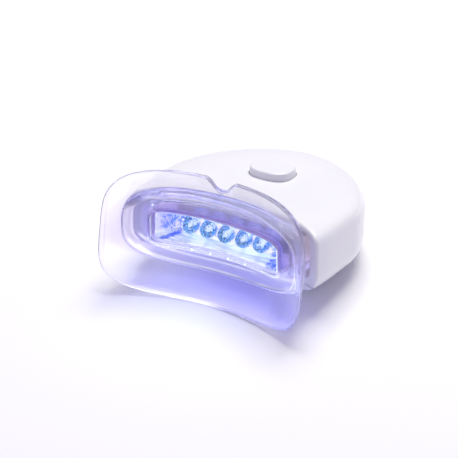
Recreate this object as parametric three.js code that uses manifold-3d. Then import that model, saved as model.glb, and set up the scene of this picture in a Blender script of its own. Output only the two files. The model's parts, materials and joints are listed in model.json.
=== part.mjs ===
// Teeth whitening lamp with a clear mouthpiece, in millimetres, +Z up.
// The lamp is drawn level: +X to the right seen from the mouth, +Y from the mouth to the
// body, and the origin where the axis of the lamp row meets the rim plane of the flange.
// Then the whole lamp is tipped until it rests on its flange and on the rear of its body.
// Lengths end in no unit. A value whose name ends in Share has no unit.

import * as THREE from "three";
import { mergeVertices } from "three/addons/utils/BufferGeometryUtils.js";
import Module from "manifold-3d";

const wasm = await Module();
wasm.setup();

// Fits shared by all pieces
const clearance = 0.3;
const overrun = 2;

// Body casing
const bodyHalfWidth = 31.85;
const bodyRearLength = 32.1;
const bodyFrontLength = 31;
const bodyWidestY = 22.9;
const bodyTopHeight = 9.3;
const bodyBottomHeight = 11.95;
const bodyFlatHeight = 11.65;
const bodyRearRoundShare = 1.12;
const bodyFrontRoundShare = 0.42;
const bodyTopRoundShare = 0.33;
const bodyBottomRoundShare = 0.44;
const casingWall = 1.5;
const partingHeight = 8.6;
const partingGap = 0.2;
const frontFaceY = 11.4;
const lipHeight = 1.2;
const lipWall = 0.9;

// Arch that the mouthpiece, the window and the front of the body follow
const archRadius = 64;

// Socket in the front of the body
const socketHalfWidth = 27.6;
const bulkheadWall = 1.4;

// Nose that carries the window, the reflector and the lamp board
const noseHalfWidth = 22;
const noseHalfHeight = 5.9;
const noseRoundShare = 0.24;
const noseWall = 0.8;
const noseFrontY = 2.1;
const nosePlateWall = 1.4;
const nosePlateRim = 1.1;
const nosePlateRoundShare = 0.42;
const noseLedge = 0.5;
const noseLedgeWall = 0.8;
const lensWall = 1;

// Reflector trough
const reflectorDepth = 2.8;
const reflectorWall = 0.7;
const reflectorBackMargin = 1.5;

// Lamps, lamp board and wires
const ledPitch = 5.9;
const ledRadius = 2.5;
const ledCollarRadius = 2.75;
const ledCollarHeight = 1;
const ledBodyLength = 8.6;
const ledTipGap = 0.7;
const leadWidth = 0.5;
const leadSpacing = 2.54;
const leadTail = 1;
const boardWall = 1.2;
const wireRadius = 0.6;
const wireSpacing = 12;

// Mouthpiece
const flangeHalfWidth = 33.4;
const flangeHalfHeight = 18.6;
const flangeRoundShare = 0.5;
const flangeWall = 1.4;
const flangeDrop = 0.6;
const flangeDishDepth = 5.2;
const flangeDishRoundShare = 1.15;
const flangeStepShares = [0.35, 0.7];
const flangeLeanShare = 0.164;
const notchHalfWidth = 5.4;
const notchDepth = 3.5;
const rimHalfWidth = 28.4;
const rimHalfHeight = 10.7;
const rimRoundShare = 0.62;
const rimCrestY = 2.7;
const rimCrestHalfWall = 1;
const rimHeight = 2.6;
const rimRootFlare = 1.5;
const rimFootShare = 0.75;
const rimFootDepthShare = 0.6;
const basinDepth = 3.9;
const basinStepShares = [0.35, 0.7];
const sleeveWallTop = 0.9;
const sleeveWallSide = 2.9;
const sleeveLength = 16.6;
const sleeveChamfer = 0.4;

// Coin cells and their bay
const cellRadius = 10;
const cellHeight = 3.2;
const cellCapInset = 1.2;
const cellCapHeight = 0.3;
const bayCentreY = 32.5;
const bayWall = 1.1;
const bayRoofWall = 0.9;
const platformWall = 1.2;
const platformRim = 2.6;

// Battery door
const doorHalfWidth = 11.6;
const doorWall = 1.3;
const doorFrontY = 21.6;
const doorRearY = 46.5;
const doorTongueWidth = 0.7;
const doorTongueWall = 0.6;
const doorTongueInset = 0.5;
const gripCount = 4;
const gripStart = 3.4;
const gripPitch = 1.7;
const gripWidth = 0.8;
const gripDepth = 0.5;
const gripHalfLength = 5.5;

// Contacts
const contactWall = 0.3;
const contactWidth = 4;
const contactReach = 8;

// Main board and what it carries
const mainBoardHalfWidth = 17;
const mainBoardFrontY = 24;
const mainBoardRearY = 37.1;
const mainBoardHeight = 2.2;
const switchHalfWidth = 3;
const switchHeight = 1.6;
const plungerRadius = 1.6;
const plungerRise = 0.7;
const plungerDepth = 0.6;
const chipLength = 5;
const chipWidth = 3.9;
const chipHeight = 1.4;
const chipX = 7.6;
const chipLegCount = 4;
const chipLegReach = 0.9;
const chipLegWidth = 0.4;
const chipLegWall = 0.25;
const resistorLength = 3.2;
const resistorWidth = 1.6;
const resistorHeight = 0.6;
const resistorX = -9;
const resistorPitch = 3;
const resistorCount = 3;

// Power button
const buttonY = 31.2;
const buttonHalfWidth = 6.6;
const buttonHalfLength = 5.2;
const buttonRoundShare = 0.75;
const buttonRise = 2.4;
const buttonTravel = 0.5;
const buttonEdge = 0.4;
const buttonFlangeWidth = 1;
const buttonFlangeWall = 0.8;
const stemRadius = 2;

// Screws and their bosses
const screwShankRadius = 0.9;
const screwHeadRadius = 1.8;
const screwHeadHeight = 1;
const screwSink = 0.8;
const screwSlotWidth = 0.5;
const screwSlotDepth = 0.5;
const bossWall = 1.3;
const caseScrewLength = 7;
const frontScrewRoomShare = 0.1;
const frontScrewY = 25.2;
const rearScrewRoomShare = 0.03;
const rearScrewY = 39.8;
const boardScrewX = 14.2;
const boardScrewLength = 3.6;

// Facet counts
const bodyFacets = 60;
const bodyLayers = 18;
const innerFacets = 36;
const innerLayers = 12;
const mouthpieceFacets = 76;
const noseFacets = 32;
const archFacets = 20;
const roundFacets = 24;
const ovalFacets = 36;
const domeFacets = 4;
const walkSteps = 4000;
const lampFacets = 14;
const wireSteps = 10;
const wireFacets = 3;
const smallFacets = 10;
const shankFacets = 6;

// Halvings of the angle at which the lamp comes to rest
const tipRounds = 40;

// Materials
const finish = (color, roughness, metalness, opacity = 1) =>
  new THREE.MeshStandardMaterial({
    color,
    roughness,
    metalness,
    opacity,
    transparent: opacity < 1,
    flatShading: true,
  });
const whitePlastic = finish(0xf3f3f6, 0.22, 0);
const innerPlastic = finish(0xe4e4ea, 0.45, 0);
const clearSilicone = finish(0xd9daf7, 0.12, 0, 0.4);
const clearWindow = finish(0xe6ecff, 0.05, 0, 0.35);
const chrome = finish(0xe9ecf2, 0.08, 1);
const blueLamp = finish(0x4d7dff, 0.1, 0, 0.8);
const boardGreen = finish(0x2c6b42, 0.5, 0);
const blackEpoxy = finish(0x1c1c20, 0.5, 0);
const steel = finish(0xb9bcc2, 0.3, 1);
const nickel = finish(0xcfcdc4, 0.28, 1);
const redWire = finish(0xa8262a, 0.5, 0);
const blackWire = finish(0x222226, 0.5, 0);

// A closed geometry as a solid for joining and cutting.
function solid(geometry) {
  const bare = geometry.clone();
  bare.deleteAttribute("normal");
  bare.deleteAttribute("uv");
  const merged = mergeVertices(bare, 1e-4);
  return new wasm.Manifold(
    new wasm.Mesh({
      numProp: 3,
      vertProperties: new Float32Array(merged.attributes.position.array),
      triVerts: new Uint32Array(merged.index.array),
    }),
  );
}

// A solid back as a geometry.
function geometryOf(body) {
  const mesh = body.getMesh();
  const geometry = new THREE.BufferGeometry();
  const places = new Float32Array(mesh.vertProperties);
  geometry.setAttribute("position", new THREE.BufferAttribute(places, 3));
  geometry.setIndex(new THREE.BufferAttribute(new Uint32Array(mesh.triVerts), 1));
  return geometry;
}

const joined = (first, ...rest) => rest.reduce((sum, next) => sum.add(next), first);
const cutBy = (first, ...rest) => rest.reduce((left, next) => left.subtract(next), first);

// How far the arch has come forward at x.
const archSag = (x) => archRadius - Math.sqrt(archRadius ** 2 - x ** 2);

// A signed power, which turns a circle into a rounded rectangle as the share falls.
const rounded = (value, roundShare) => Math.sign(value) * Math.abs(value) ** roundShare;

// Angles that walk a rounded rectangle in even steps, denser where the weight is larger.
function evenAngles(halfWidth, halfHeight, roundShare, count, weight = () => 1) {
  const angles = [];
  const lengths = [0];
  const at = (i) => {
    const angle = (2 * Math.PI * i) / walkSteps;
    return [
      halfWidth * rounded(Math.cos(angle), roundShare),
      halfHeight * rounded(Math.sin(angle), roundShare),
    ];
  };
  for (let i = 1; i <= walkSteps; i++) {
    const [x0, z0] = at(i - 1);
    const [x1, z1] = at(i);
    lengths.push(lengths[i - 1] + Math.hypot(x1 - x0, z1 - z0) * weight(x1, z1));
  }
  let i = 0;
  for (let k = 0; k < count; k++) {
    const goal = (lengths[walkSteps] * k) / count;
    while (lengths[i + 1] <= goal) i++;
    const part = (goal - lengths[i]) / (lengths[i + 1] - lengths[i]);
    angles.push((2 * Math.PI * (i + part)) / walkSteps);
  }
  return angles;
}

// Loops of points stitched into one closed skin: as a ring of loops, or with a fan at each end.
function skin(loops, asRing) {
  const count = loops[0].length;
  const points = loops.flat();
  const faces = [];
  const rows = asRing ? loops.length : loops.length - 1;
  for (let row = 0; row < rows; row++) {
    const next = (row + 1) % loops.length;
    for (let k = 0; k < count; k++) {
      const a = row * count + k;
      const b = row * count + ((k + 1) % count);
      const c = next * count + ((k + 1) % count);
      const d = next * count + k;
      faces.push(a, b, c, a, c, d);
    }
  }
  if (!asRing) {
    for (const [row, turned] of [[0, true], [loops.length - 1, false]]) {
      const middle = new THREE.Vector3();
      loops[row].forEach((point) => middle.addScaledVector(point, 1 / count));
      points.push(middle);
      for (let k = 0; k < count; k++) {
        const a = row * count + k;
        const b = row * count + ((k + 1) % count);
        faces.push(...(turned ? [b, a, points.length - 1] : [a, b, points.length - 1]));
      }
    }
  }
  const geometry = new THREE.BufferGeometry().setFromPoints(points);
  geometry.setIndex(faces);
  return geometry;
}

// A prism or taper along Y through rounded rectangles, each [halfWidth, halfHeight, y].
function loft(roundShare, stations, count = noseFacets) {
  const [firstWidth, firstHeight] = stations[0];
  const angles = evenAngles(firstWidth, firstHeight, roundShare, count);
  const loops = stations.map(([halfWidth, halfHeight, y]) =>
    angles.map(
      (angle) =>
        new THREE.Vector3(
          halfWidth * rounded(Math.cos(-angle), roundShare),
          y,
          halfHeight * rounded(Math.sin(-angle), roundShare),
        ),
    ),
  );
  return solid(skin(loops, false));
}

// A box from its low corner to its high corner.
function block(x0, y0, z0, x1, y1, z1) {
  const geometry = new THREE.BoxGeometry(x1 - x0, y1 - y0, z1 - z0);
  geometry.translate((x0 + x1) / 2, (y0 + y1) / 2, (z0 + z1) / 2);
  return solid(geometry);
}

// A round post along Z.
function post(radius, x, y, z0, z1, facets = roundFacets) {
  const geometry = new THREE.CylinderGeometry(radius, radius, z1 - z0, facets);
  geometry.rotateX(Math.PI / 2);
  geometry.translate(x, y, (z0 + z1) / 2);
  return solid(geometry);
}

// An upright prism with the button's oval plan, a little squared.
function oval(halfWidth, halfLength, y, z0, z1, facets = ovalFacets) {
  const geometry = new THREE.CylinderGeometry(1, 1, z1 - z0, facets);
  geometry.rotateX(Math.PI / 2);
  const points = geometry.attributes.position;
  for (let i = 0; i < points.count; i++) {
    const across = halfWidth * rounded(points.getX(i), buttonRoundShare);
    const along = halfLength * rounded(points.getY(i), buttonRoundShare);
    points.setXYZ(i, across, along, points.getZ(i));
  }
  geometry.translate(0, y, (z0 + z1) / 2);
  return solid(geometry);
}

// All that lies between two arches, or in front of one.
function archBand(frontY, backY) {
  const half = bodyHalfWidth + overrun;
  const height = flangeHalfHeight + overrun;
  const outline = new THREE.Shape();
  for (let i = 0; i <= archFacets; i++) {
    const x = -half + (2 * half * i) / archFacets;
    const y = backY - archSag(x);
    if (i === 0) outline.moveTo(x, y);
    else outline.lineTo(x, y);
  }
  for (let i = archFacets; i >= 0; i--) {
    const x = -half + (2 * half * i) / archFacets;
    outline.lineTo(x, frontY - archSag(x));
  }
  const geometry = new THREE.ExtrudeGeometry(outline, { depth: 2 * height, bevelEnabled: false });
  geometry.translate(0, 0, -height);
  return solid(geometry);
}

// The body as a rounded pebble, drawn in by the inset: an oval plan, longer to the rear,
// whose edge turns over into a shallow dome above and a shallow dish below.
function pebble(inset, facets, layers) {
  const loops = [];
  for (let layer = 1; layer < layers; layer++) {
    const angle = -Math.PI / 2 + (Math.PI * layer) / layers;
    const above = angle > 0;
    const roundShare = above ? bodyTopRoundShare : bodyBottomRoundShare;
    const spread = Math.cos(angle) ** roundShare;
    const height = (above ? bodyTopHeight : bodyBottomHeight) - inset;
    const z = height * rounded(Math.sin(angle), roundShare);
    const loop = [];
    for (let k = 0; k < facets; k++) {
      const turn = (2 * Math.PI * k) / facets;
      const toRear = Math.sin(turn) >= 0;
      const planShare = toRear ? bodyRearRoundShare : bodyFrontRoundShare;
      const length = (toRear ? bodyRearLength : bodyFrontLength) - inset;
      loop.push(
        new THREE.Vector3(
          (bodyHalfWidth - inset) * spread * rounded(Math.cos(turn), planShare),
          bodyWidestY + length * spread * rounded(Math.sin(turn), planShare),
          z,
        ),
      );
    }
    loops.push(loop);
  }
  return solid(skin(loops, false));
}

// Levels and places that several pieces share
const sleeveHalfHeight = noseHalfHeight + clearance + sleeveWallTop;
const sleeveHalfWidth = noseHalfWidth + clearance + sleeveWallSide;
const socketHalfHeight = sleeveHalfHeight + clearance;
const socketBackY = sleeveLength + clearance;
const bulkheadBackY = socketBackY + bulkheadWall;
const nosePlateFrontY = bulkheadBackY + clearance;
const nosePlateBackY = nosePlateFrontY + nosePlateWall;
const ribFrontY = nosePlateBackY + clearance;
const ribBackY = ribFrontY + casingWall;
const noseBoreHalfWidth = noseHalfWidth - noseWall;
const noseBoreHalfHeight = noseHalfHeight - noseWall;
const ledTipY = noseFrontY + lensWall + ledTipGap;
const ledDomeY = ledTipY + ledRadius;
const ledBaseY = ledTipY + ledBodyLength;
const ledBoardFrontY = ledBaseY + clearance;
const ledBoardBackY = ledBoardFrontY + boardWall;
const ledCount = 5;
const ledPlaces = Array.from({ length: ledCount }, (_, i) => (i - (ledCount - 1) / 2) * ledPitch);
const doorTopZ = doorWall - bodyFlatHeight;
const channelTopZ = doorTopZ + clearance;
const platformTopZ = channelTopZ + platformWall;
const lowerCellZ = doorTopZ + clearance;
const upperCellZ = lowerCellZ + cellHeight + clearance;
const cellStackTopZ = upperCellZ + cellHeight;
const bayRadius = cellRadius + clearance;
const negativeZ = cellStackTopZ + clearance;
const bayRoofZ = negativeZ + contactWall + clearance;
const contactTopZ = mainBoardHeight - clearance;
const mainBoardTopZ = mainBoardHeight + boardWall;
const switchZ = mainBoardTopZ + clearance;
const switchTopZ = switchZ + switchHeight;
const plungerTopZ = switchTopZ + plungerRise;
const domeZ = (y) => {
  const share = Math.abs(y - bodyWidestY) / bodyRearLength;
  return bodyTopHeight * (1 - share ** (2 / bodyTopRoundShare)) ** (bodyTopRoundShare / 2);
};
const buttonTopZ = domeZ(buttonY) + buttonRise;
const buttonFlangeTopZ = domeZ(buttonY + buttonHalfLength + buttonFlangeWidth) - casingWall - clearance;
const screwHeadZ = -bodyFlatHeight + screwSink;
const screwSeatZ = screwHeadZ + screwHeadHeight + clearance;
const padTopZ = screwSeatZ + casingWall;
const shankHoleRadius = screwShankRadius + clearance;
const bossRadius = shankHoleRadius + bossWall;
const headHoleRadius = screwHeadRadius + clearance;
const besideBoardX = mainBoardHalfWidth + clearance + bossRadius;
const besideDoorX = doorHalfWidth + doorTongueWidth + clearance + headHoleRadius;
const frontScrewX = besideBoardX + frontScrewRoomShare * (bodyHalfWidth - besideBoardX);
const rearScrewX = besideDoorX + rearScrewRoomShare * (bodyHalfWidth - besideDoorX);
const caseScrewPlaces = {
  front_left: [-frontScrewX, frontScrewY],
  front_right: [frontScrewX, frontScrewY],
  rear_left: [-rearScrewX, rearScrewY],
  rear_right: [rearScrewX, rearScrewY],
};
const boardScrewPlaces = { left: [-boardScrewX, buttonY], right: [boardScrewX, buttonY] };
const farX = bodyHalfWidth + overrun;
const farY = bodyWidestY + bodyRearLength + overrun;
const farZ = bodyBottomHeight + overrun;

const outerPebble = pebble(0, bodyFacets, bodyLayers);
const innerPebble = pebble(casingWall, innerFacets, innerLayers);
const seatedPebble = pebble(casingWall + clearance, innerFacets, innerLayers);
const rootPebble = pebble(casingWall / 2, innerFacets, innerLayers);

// The whole casing before it is parted: the pebble with its concave front, its flat underside,
// the socket for the mouthpiece, the bulkhead that the nose passes through and the hollow behind.
function casing() {
  const outside = cutBy(
    outerPebble,
    archBand(-2 * bodyFrontLength, frontFaceY),
    block(-farX, -farY, -farZ, farX, farY, -bodyFlatHeight),
  );
  const hollow = innerPebble.intersect(
    block(-farX, bulkheadBackY, casingWall - bodyFlatHeight, farX, farY, farZ),
  );
  const socket = loft(noseRoundShare, [
    [socketHalfWidth, socketHalfHeight, -overrun],
    [socketHalfWidth, socketHalfHeight, socketBackY],
  ]);
  const passage = loft(noseRoundShare, [
    [noseHalfWidth + clearance, noseHalfHeight + clearance, 0],
    [noseHalfWidth + clearance, noseHalfHeight + clearance, bulkheadBackY + overrun],
  ]);
  return cutBy(outside, hollow, socket, passage);
}

// A low rib across the hollow, above or below, that holds the nose plate to the bulkhead.
function noseRib(side) {
  const slab = block(-farX, ribFrontY, -farZ, farX, ribBackY, farZ);
  const edge = noseHalfHeight - nosePlateRim;
  const above = block(-farX, 0, edge, farX, farY, farZ);
  const below = block(-farX, 0, -farZ, farX, farY, -edge);
  return slab.intersect(side > 0 ? above : below);
}

function upperShell() {
  const above = block(-farX, -farY, -partingHeight + partingGap / 2, farX, farY, farZ);
  const bosses = [];
  const pilots = [];
  for (const [x, y] of Object.values(caseScrewPlaces)) {
    const pilotTopZ = screwSeatZ + caseScrewLength + clearance;
    bosses.push(post(bossRadius, x, y, padTopZ + clearance, farZ, smallFacets));
    pilots.push(post(shankHoleRadius, x, y, -farZ, pilotTopZ, smallFacets));
  }
  for (const [x, y] of Object.values(boardScrewPlaces)) {
    const pilotTopZ = mainBoardHeight + boardScrewLength;
    bosses.push(post(bossRadius, x, y, mainBoardTopZ + clearance, farZ, smallFacets));
    pilots.push(post(shankHoleRadius, x, y, -farZ, pilotTopZ, smallFacets));
  }
  const added = joined(...bosses).intersect(rootPebble);
  const opening = oval(
    buttonHalfWidth + clearance,
    buttonHalfLength + clearance,
    buttonY,
    0,
    bodyTopHeight + overrun,
  );
  const rib = noseRib(1).intersect(rootPebble);
  return cutBy(joined(casing().intersect(above), rib, added), opening, ...pilots);
}

function lowerShell() {
  const below = block(-farX, -farY, -farZ, farX, farY, -partingHeight - partingGap / 2);
  const lipTopZ = lipHeight - partingHeight;
  const behind = block(-farX, ribBackY, -farZ, farX, farY, lipTopZ);
  const kept = joined(seatedPebble.intersect(behind), rootPebble.intersect(below).intersect(behind));
  const lip = kept.subtract(pebble(casingWall + clearance + lipWall, innerFacets, innerLayers));
  const platformHalfWidth = doorHalfWidth + doorTongueWidth + clearance + platformRim;
  const platform = block(
    -platformHalfWidth,
    ribFrontY,
    -bodyFlatHeight,
    platformHalfWidth,
    farY,
    platformTopZ,
  ).intersect(seatedPebble);
  const bay = post(bayRadius + bayWall, 0, bayCentreY, channelTopZ, bayRoofZ + bayRoofWall);
  const bayHole = post(bayRadius, 0, bayCentreY, -farZ, bayRoofZ);
  const channel = block(
    -doorHalfWidth - clearance,
    doorFrontY - clearance,
    -farZ,
    doorHalfWidth + clearance,
    farY,
    channelTopZ,
  );
  const grooveHalfWidth = doorHalfWidth + doorTongueWidth + clearance;
  const grooves = block(
    -grooveHalfWidth,
    doorFrontY - clearance,
    doorTopZ - doorTongueInset - doorTongueWall - clearance,
    grooveHalfWidth,
    farY,
    doorTopZ - doorTongueInset + clearance,
  );
  const pads = [];
  const cuts = [];
  for (const [x, y] of Object.values(caseScrewPlaces)) {
    pads.push(post(headHoleRadius + bossWall, x, y, -bodyFlatHeight, padTopZ, smallFacets));
    cuts.push(post(headHoleRadius, x, y, -farZ, screwSeatZ, smallFacets));
    cuts.push(post(shankHoleRadius, x, y, -farZ, farZ, smallFacets));
    cuts.push(post(bossRadius + clearance, x, y, padTopZ, farZ, smallFacets));
  }
  const slots = [contactSlot(negativeSlotX()), contactSlot(positiveSlotX())];
  const raised = joined(noseRib(-1), ...pads).intersect(seatedPebble);
  return cutBy(
    joined(casing().intersect(below), lip, platform, raised, bay),
    bayHole,
    channel,
    grooves,
    ...slots,
    ...cuts,
  );
}

// Each contact's tail rises through a slot in the bay: one near the middle, one at the rim.
const negativeSlotX = () => contactReach;
const positiveSlotX = () => -(cellRadius + clearance + contactWall);

function contactSlot(x) {
  return block(
    x - clearance - contactWall,
    bayCentreY - contactWidth / 2 - clearance,
    x < 0 ? lowerCellZ : bayRoofZ - clearance,
    x + clearance + contactWall,
    bayCentreY + contactWidth / 2 + clearance,
    bayRoofZ + bayRoofWall + clearance,
  );
}

function batteryDoor() {
  const plate = block(
    -doorHalfWidth,
    doorFrontY,
    -bodyFlatHeight,
    doorHalfWidth,
    doorRearY,
    doorTopZ,
  );
  const tongues = block(
    -doorHalfWidth - doorTongueWidth,
    doorFrontY,
    doorTopZ - doorTongueInset - doorTongueWall,
    doorHalfWidth + doorTongueWidth,
    doorRearY,
    doorTopZ - doorTongueInset,
  );
  const grips = [];
  for (let i = 0; i < gripCount; i++) {
    const y = doorFrontY + gripStart + i * gripPitch;
    grips.push(
      block(
        -gripHalfLength,
        y - gripWidth / 2,
        -farZ,
        gripHalfLength,
        y + gripWidth / 2,
        gripDepth - bodyFlatHeight,
      ),
    );
  }
  return cutBy(joined(plate, tongues).intersect(outerPebble), ...grips);
}

function powerButton() {
  const flangeZ = buttonFlangeTopZ - buttonFlangeWall;
  const edgeZ = buttonTopZ - buttonEdge;
  const cap = oval(buttonHalfWidth, buttonHalfLength, buttonY, flangeZ, edgeZ);
  const top = oval(
    buttonHalfWidth - buttonEdge,
    buttonHalfLength - buttonEdge,
    buttonY,
    edgeZ - buttonEdge,
    buttonTopZ,
  );
  const flange = oval(
    buttonHalfWidth + buttonFlangeWidth,
    buttonHalfLength + buttonFlangeWidth,
    buttonY,
    flangeZ,
    buttonFlangeTopZ,
  );
  const stem = post(stemRadius, 0, buttonY, plungerTopZ + clearance, edgeZ, smallFacets);
  return joined(cap, top, flange, stem);
}

function switchBody() {
  const housing = block(
    -switchHalfWidth,
    buttonY - switchHalfWidth,
    switchZ,
    switchHalfWidth,
    buttonY + switchHalfWidth,
    switchTopZ,
  );
  const well = plungerDepth + buttonTravel + clearance;
  return housing.subtract(
    post(plungerRadius + clearance, 0, buttonY, switchTopZ - well, switchTopZ + overrun, smallFacets),
  );
}

const switchPlunger = () =>
  post(plungerRadius, 0, buttonY, switchTopZ - plungerDepth, plungerTopZ, smallFacets);

function mainBoard() {
  const plate = block(
    -mainBoardHalfWidth,
    mainBoardFrontY,
    mainBoardHeight,
    mainBoardHalfWidth,
    mainBoardRearY,
    mainBoardTopZ,
  );
  const holes = Object.values(boardScrewPlaces).map(([x, y]) =>
    post(shankHoleRadius, x, y, 0, mainBoardTopZ + overrun, smallFacets),
  );
  return cutBy(plate, ...holes);
}

// The chip lies on the board with a row of legs along each long side.
function driverChip() {
  const z = mainBoardTopZ + clearance;
  const half = chipWidth / 2;
  const body = block(
    chipX - half,
    buttonY - chipLength / 2,
    z + chipLegWall / 2,
    chipX + half,
    buttonY + chipLength / 2,
    z + chipHeight,
  );
  const legs = [];
  for (let i = 0; i < chipLegCount; i++) {
    const y = buttonY + (i - (chipLegCount - 1) / 2) * (chipLength / chipLegCount);
    const reach = half + chipLegReach;
    legs.push(
      block(chipX - reach, y - chipLegWidth / 2, z, chipX + reach, y + chipLegWidth / 2, z + chipLegWall),
    );
  }
  return joined(body, ...legs);
}

function resistor(index) {
  const y = buttonY + (index - (resistorCount - 1) / 2) * resistorPitch;
  const z = mainBoardTopZ + clearance;
  return block(
    resistorX - resistorLength / 2,
    y - resistorWidth / 2,
    z,
    resistorX + resistorLength / 2,
    y + resistorWidth / 2,
    z + resistorHeight,
  );
}

// The nose is a rounded-rectangular tube with an arched front, a ledge behind the window and
// a plate at its rear end that the bulkhead and the rib hold.
function nose() {
  const front = noseFrontY - archSag(noseHalfWidth);
  const tube = loft(noseRoundShare, [
    [noseHalfWidth, noseHalfHeight, front],
    [noseHalfWidth, noseHalfHeight, nosePlateBackY],
  ]).subtract(archBand(-bodyFrontLength, noseFrontY));
  const plate = loft(nosePlateRoundShare, [
    [noseHalfWidth + nosePlateRim, noseHalfHeight + nosePlateRim, nosePlateFrontY],
    [noseHalfWidth + nosePlateRim, noseHalfHeight + nosePlateRim, nosePlateBackY],
  ]);
  const bore = loft(noseRoundShare, [
    [noseBoreHalfWidth, noseBoreHalfHeight, front - overrun],
    [noseBoreHalfWidth, noseBoreHalfHeight, nosePlateBackY + overrun],
  ]);
  const ledgeY = noseFrontY + lensWall + clearance;
  const ledge = loft(noseRoundShare, [
    [noseHalfWidth - noseWall / 2, noseHalfHeight - noseWall / 2, front],
    [noseHalfWidth - noseWall / 2, noseHalfHeight - noseWall / 2, ledDomeY],
  ])
    .subtract(
      loft(noseRoundShare, [
        [noseBoreHalfWidth - noseLedge, noseBoreHalfHeight - noseLedge, front - overrun],
        [noseBoreHalfWidth - noseLedge, noseBoreHalfHeight - noseLedge, ledDomeY + overrun],
      ]),
    )
    .intersect(archBand(ledgeY, ledgeY + noseLedgeWall));
  return joined(joined(tube, plate).subtract(bore), ledge);
}

function windowLens() {
  const halfWidth = noseBoreHalfWidth - clearance;
  const halfHeight = noseBoreHalfHeight - clearance;
  return loft(noseRoundShare, [
    [halfWidth, halfHeight, -archSag(noseHalfWidth) - overrun],
    [halfWidth, halfHeight, ledDomeY],
  ]).intersect(archBand(noseFrontY, noseFrontY + lensWall));
}

// The trough: its rim follows the arch, its walls close in towards a flat back with a hole
// for each lamp, and its outside follows its inside at one wall.
function reflector() {
  const frontY = noseFrontY + lensWall + clearance + noseLedgeWall + clearance;
  const backY = ledDomeY + reflectorWall;
  const mouthHalfWidth = noseBoreHalfWidth - noseLedge;
  const mouthHalfHeight = noseBoreHalfHeight - noseLedge;
  const backHalfWidth = ledPlaces.at(-1) + ledRadius + reflectorBackMargin;
  const backHalfHeight = ledRadius + clearance + reflectorWall / 4;
  const startY = frontY - archSag(noseHalfWidth);
  const rim = loft(noseRoundShare, [
    [noseBoreHalfWidth - clearance, noseBoreHalfHeight - clearance, startY],
    [noseBoreHalfWidth - clearance, noseBoreHalfHeight - clearance, frontY + reflectorDepth],
  ]).intersect(archBand(frontY, frontY + reflectorWall));
  const outside = loft(noseRoundShare, [
    [mouthHalfWidth + reflectorWall / 2, mouthHalfHeight + reflectorWall / 2, startY],
    [backHalfWidth + reflectorWall, backHalfHeight + reflectorWall, backY + reflectorWall],
  ]).subtract(archBand(-bodyFrontLength, frontY));
  const inside = loft(noseRoundShare, [
    [mouthHalfWidth, mouthHalfHeight, startY - overrun],
    [mouthHalfWidth, mouthHalfHeight, startY],
    [backHalfWidth, backHalfHeight, backY],
  ]);
  const holes = ledPlaces.map((x) => {
    const radius = ledRadius + clearance;
    const geometry = new THREE.CylinderGeometry(radius, radius, ledBodyLength, lampFacets);
    geometry.translate(x, backY, 0);
    return solid(geometry);
  });
  return cutBy(joined(rim, outside), inside, ...holes);
}

// A domed lamp turned about its axis, with a collar at its base and two square leads.
function led(x) {
  const profile = [new THREE.Vector2(0, 0)];
  profile.push(new THREE.Vector2(ledCollarRadius, 0));
  profile.push(new THREE.Vector2(ledCollarRadius, ledCollarHeight));
  profile.push(new THREE.Vector2(ledRadius, ledCollarHeight));
  for (let i = 0; i <= domeFacets; i++) {
    const angle = (Math.PI / 2) * (i / domeFacets);
    const radius = i === domeFacets ? 0 : ledRadius * Math.cos(angle);
    profile.push(new THREE.Vector2(radius, ledBodyLength - ledRadius + ledRadius * Math.sin(angle)));
  }
  const dome = new THREE.LatheGeometry(profile, lampFacets);
  dome.rotateX(Math.PI);
  dome.translate(x, ledBaseY, 0);
  const leads = [-1, 1].map((side) =>
    block(
      x + (side * leadSpacing) / 2 - leadWidth / 2,
      ledBaseY - ledCollarHeight / 2,
      -leadWidth / 2,
      x + (side * leadSpacing) / 2 + leadWidth / 2,
      ledBoardBackY + leadTail,
      leadWidth / 2,
    ),
  );
  return joined(solid(dome), ...leads);
}

function ledBoard() {
  const plate = loft(noseRoundShare, [
    [noseBoreHalfWidth - clearance, noseBoreHalfHeight - clearance, ledBoardFrontY],
    [noseBoreHalfWidth - clearance, noseBoreHalfHeight - clearance, ledBoardBackY],
  ]);
  const holes = [];
  for (const x of ledPlaces) {
    for (const side of [-1, 1]) {
      const middle = x + (side * leadSpacing) / 2;
      const half = leadWidth / 2 + clearance;
      holes.push(
        block(middle - half, ledBoardFrontY - overrun, -half, middle + half, ledBoardBackY + overrun, half),
      );
    }
  }
  return cutBy(plate, ...holes);
}

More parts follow.
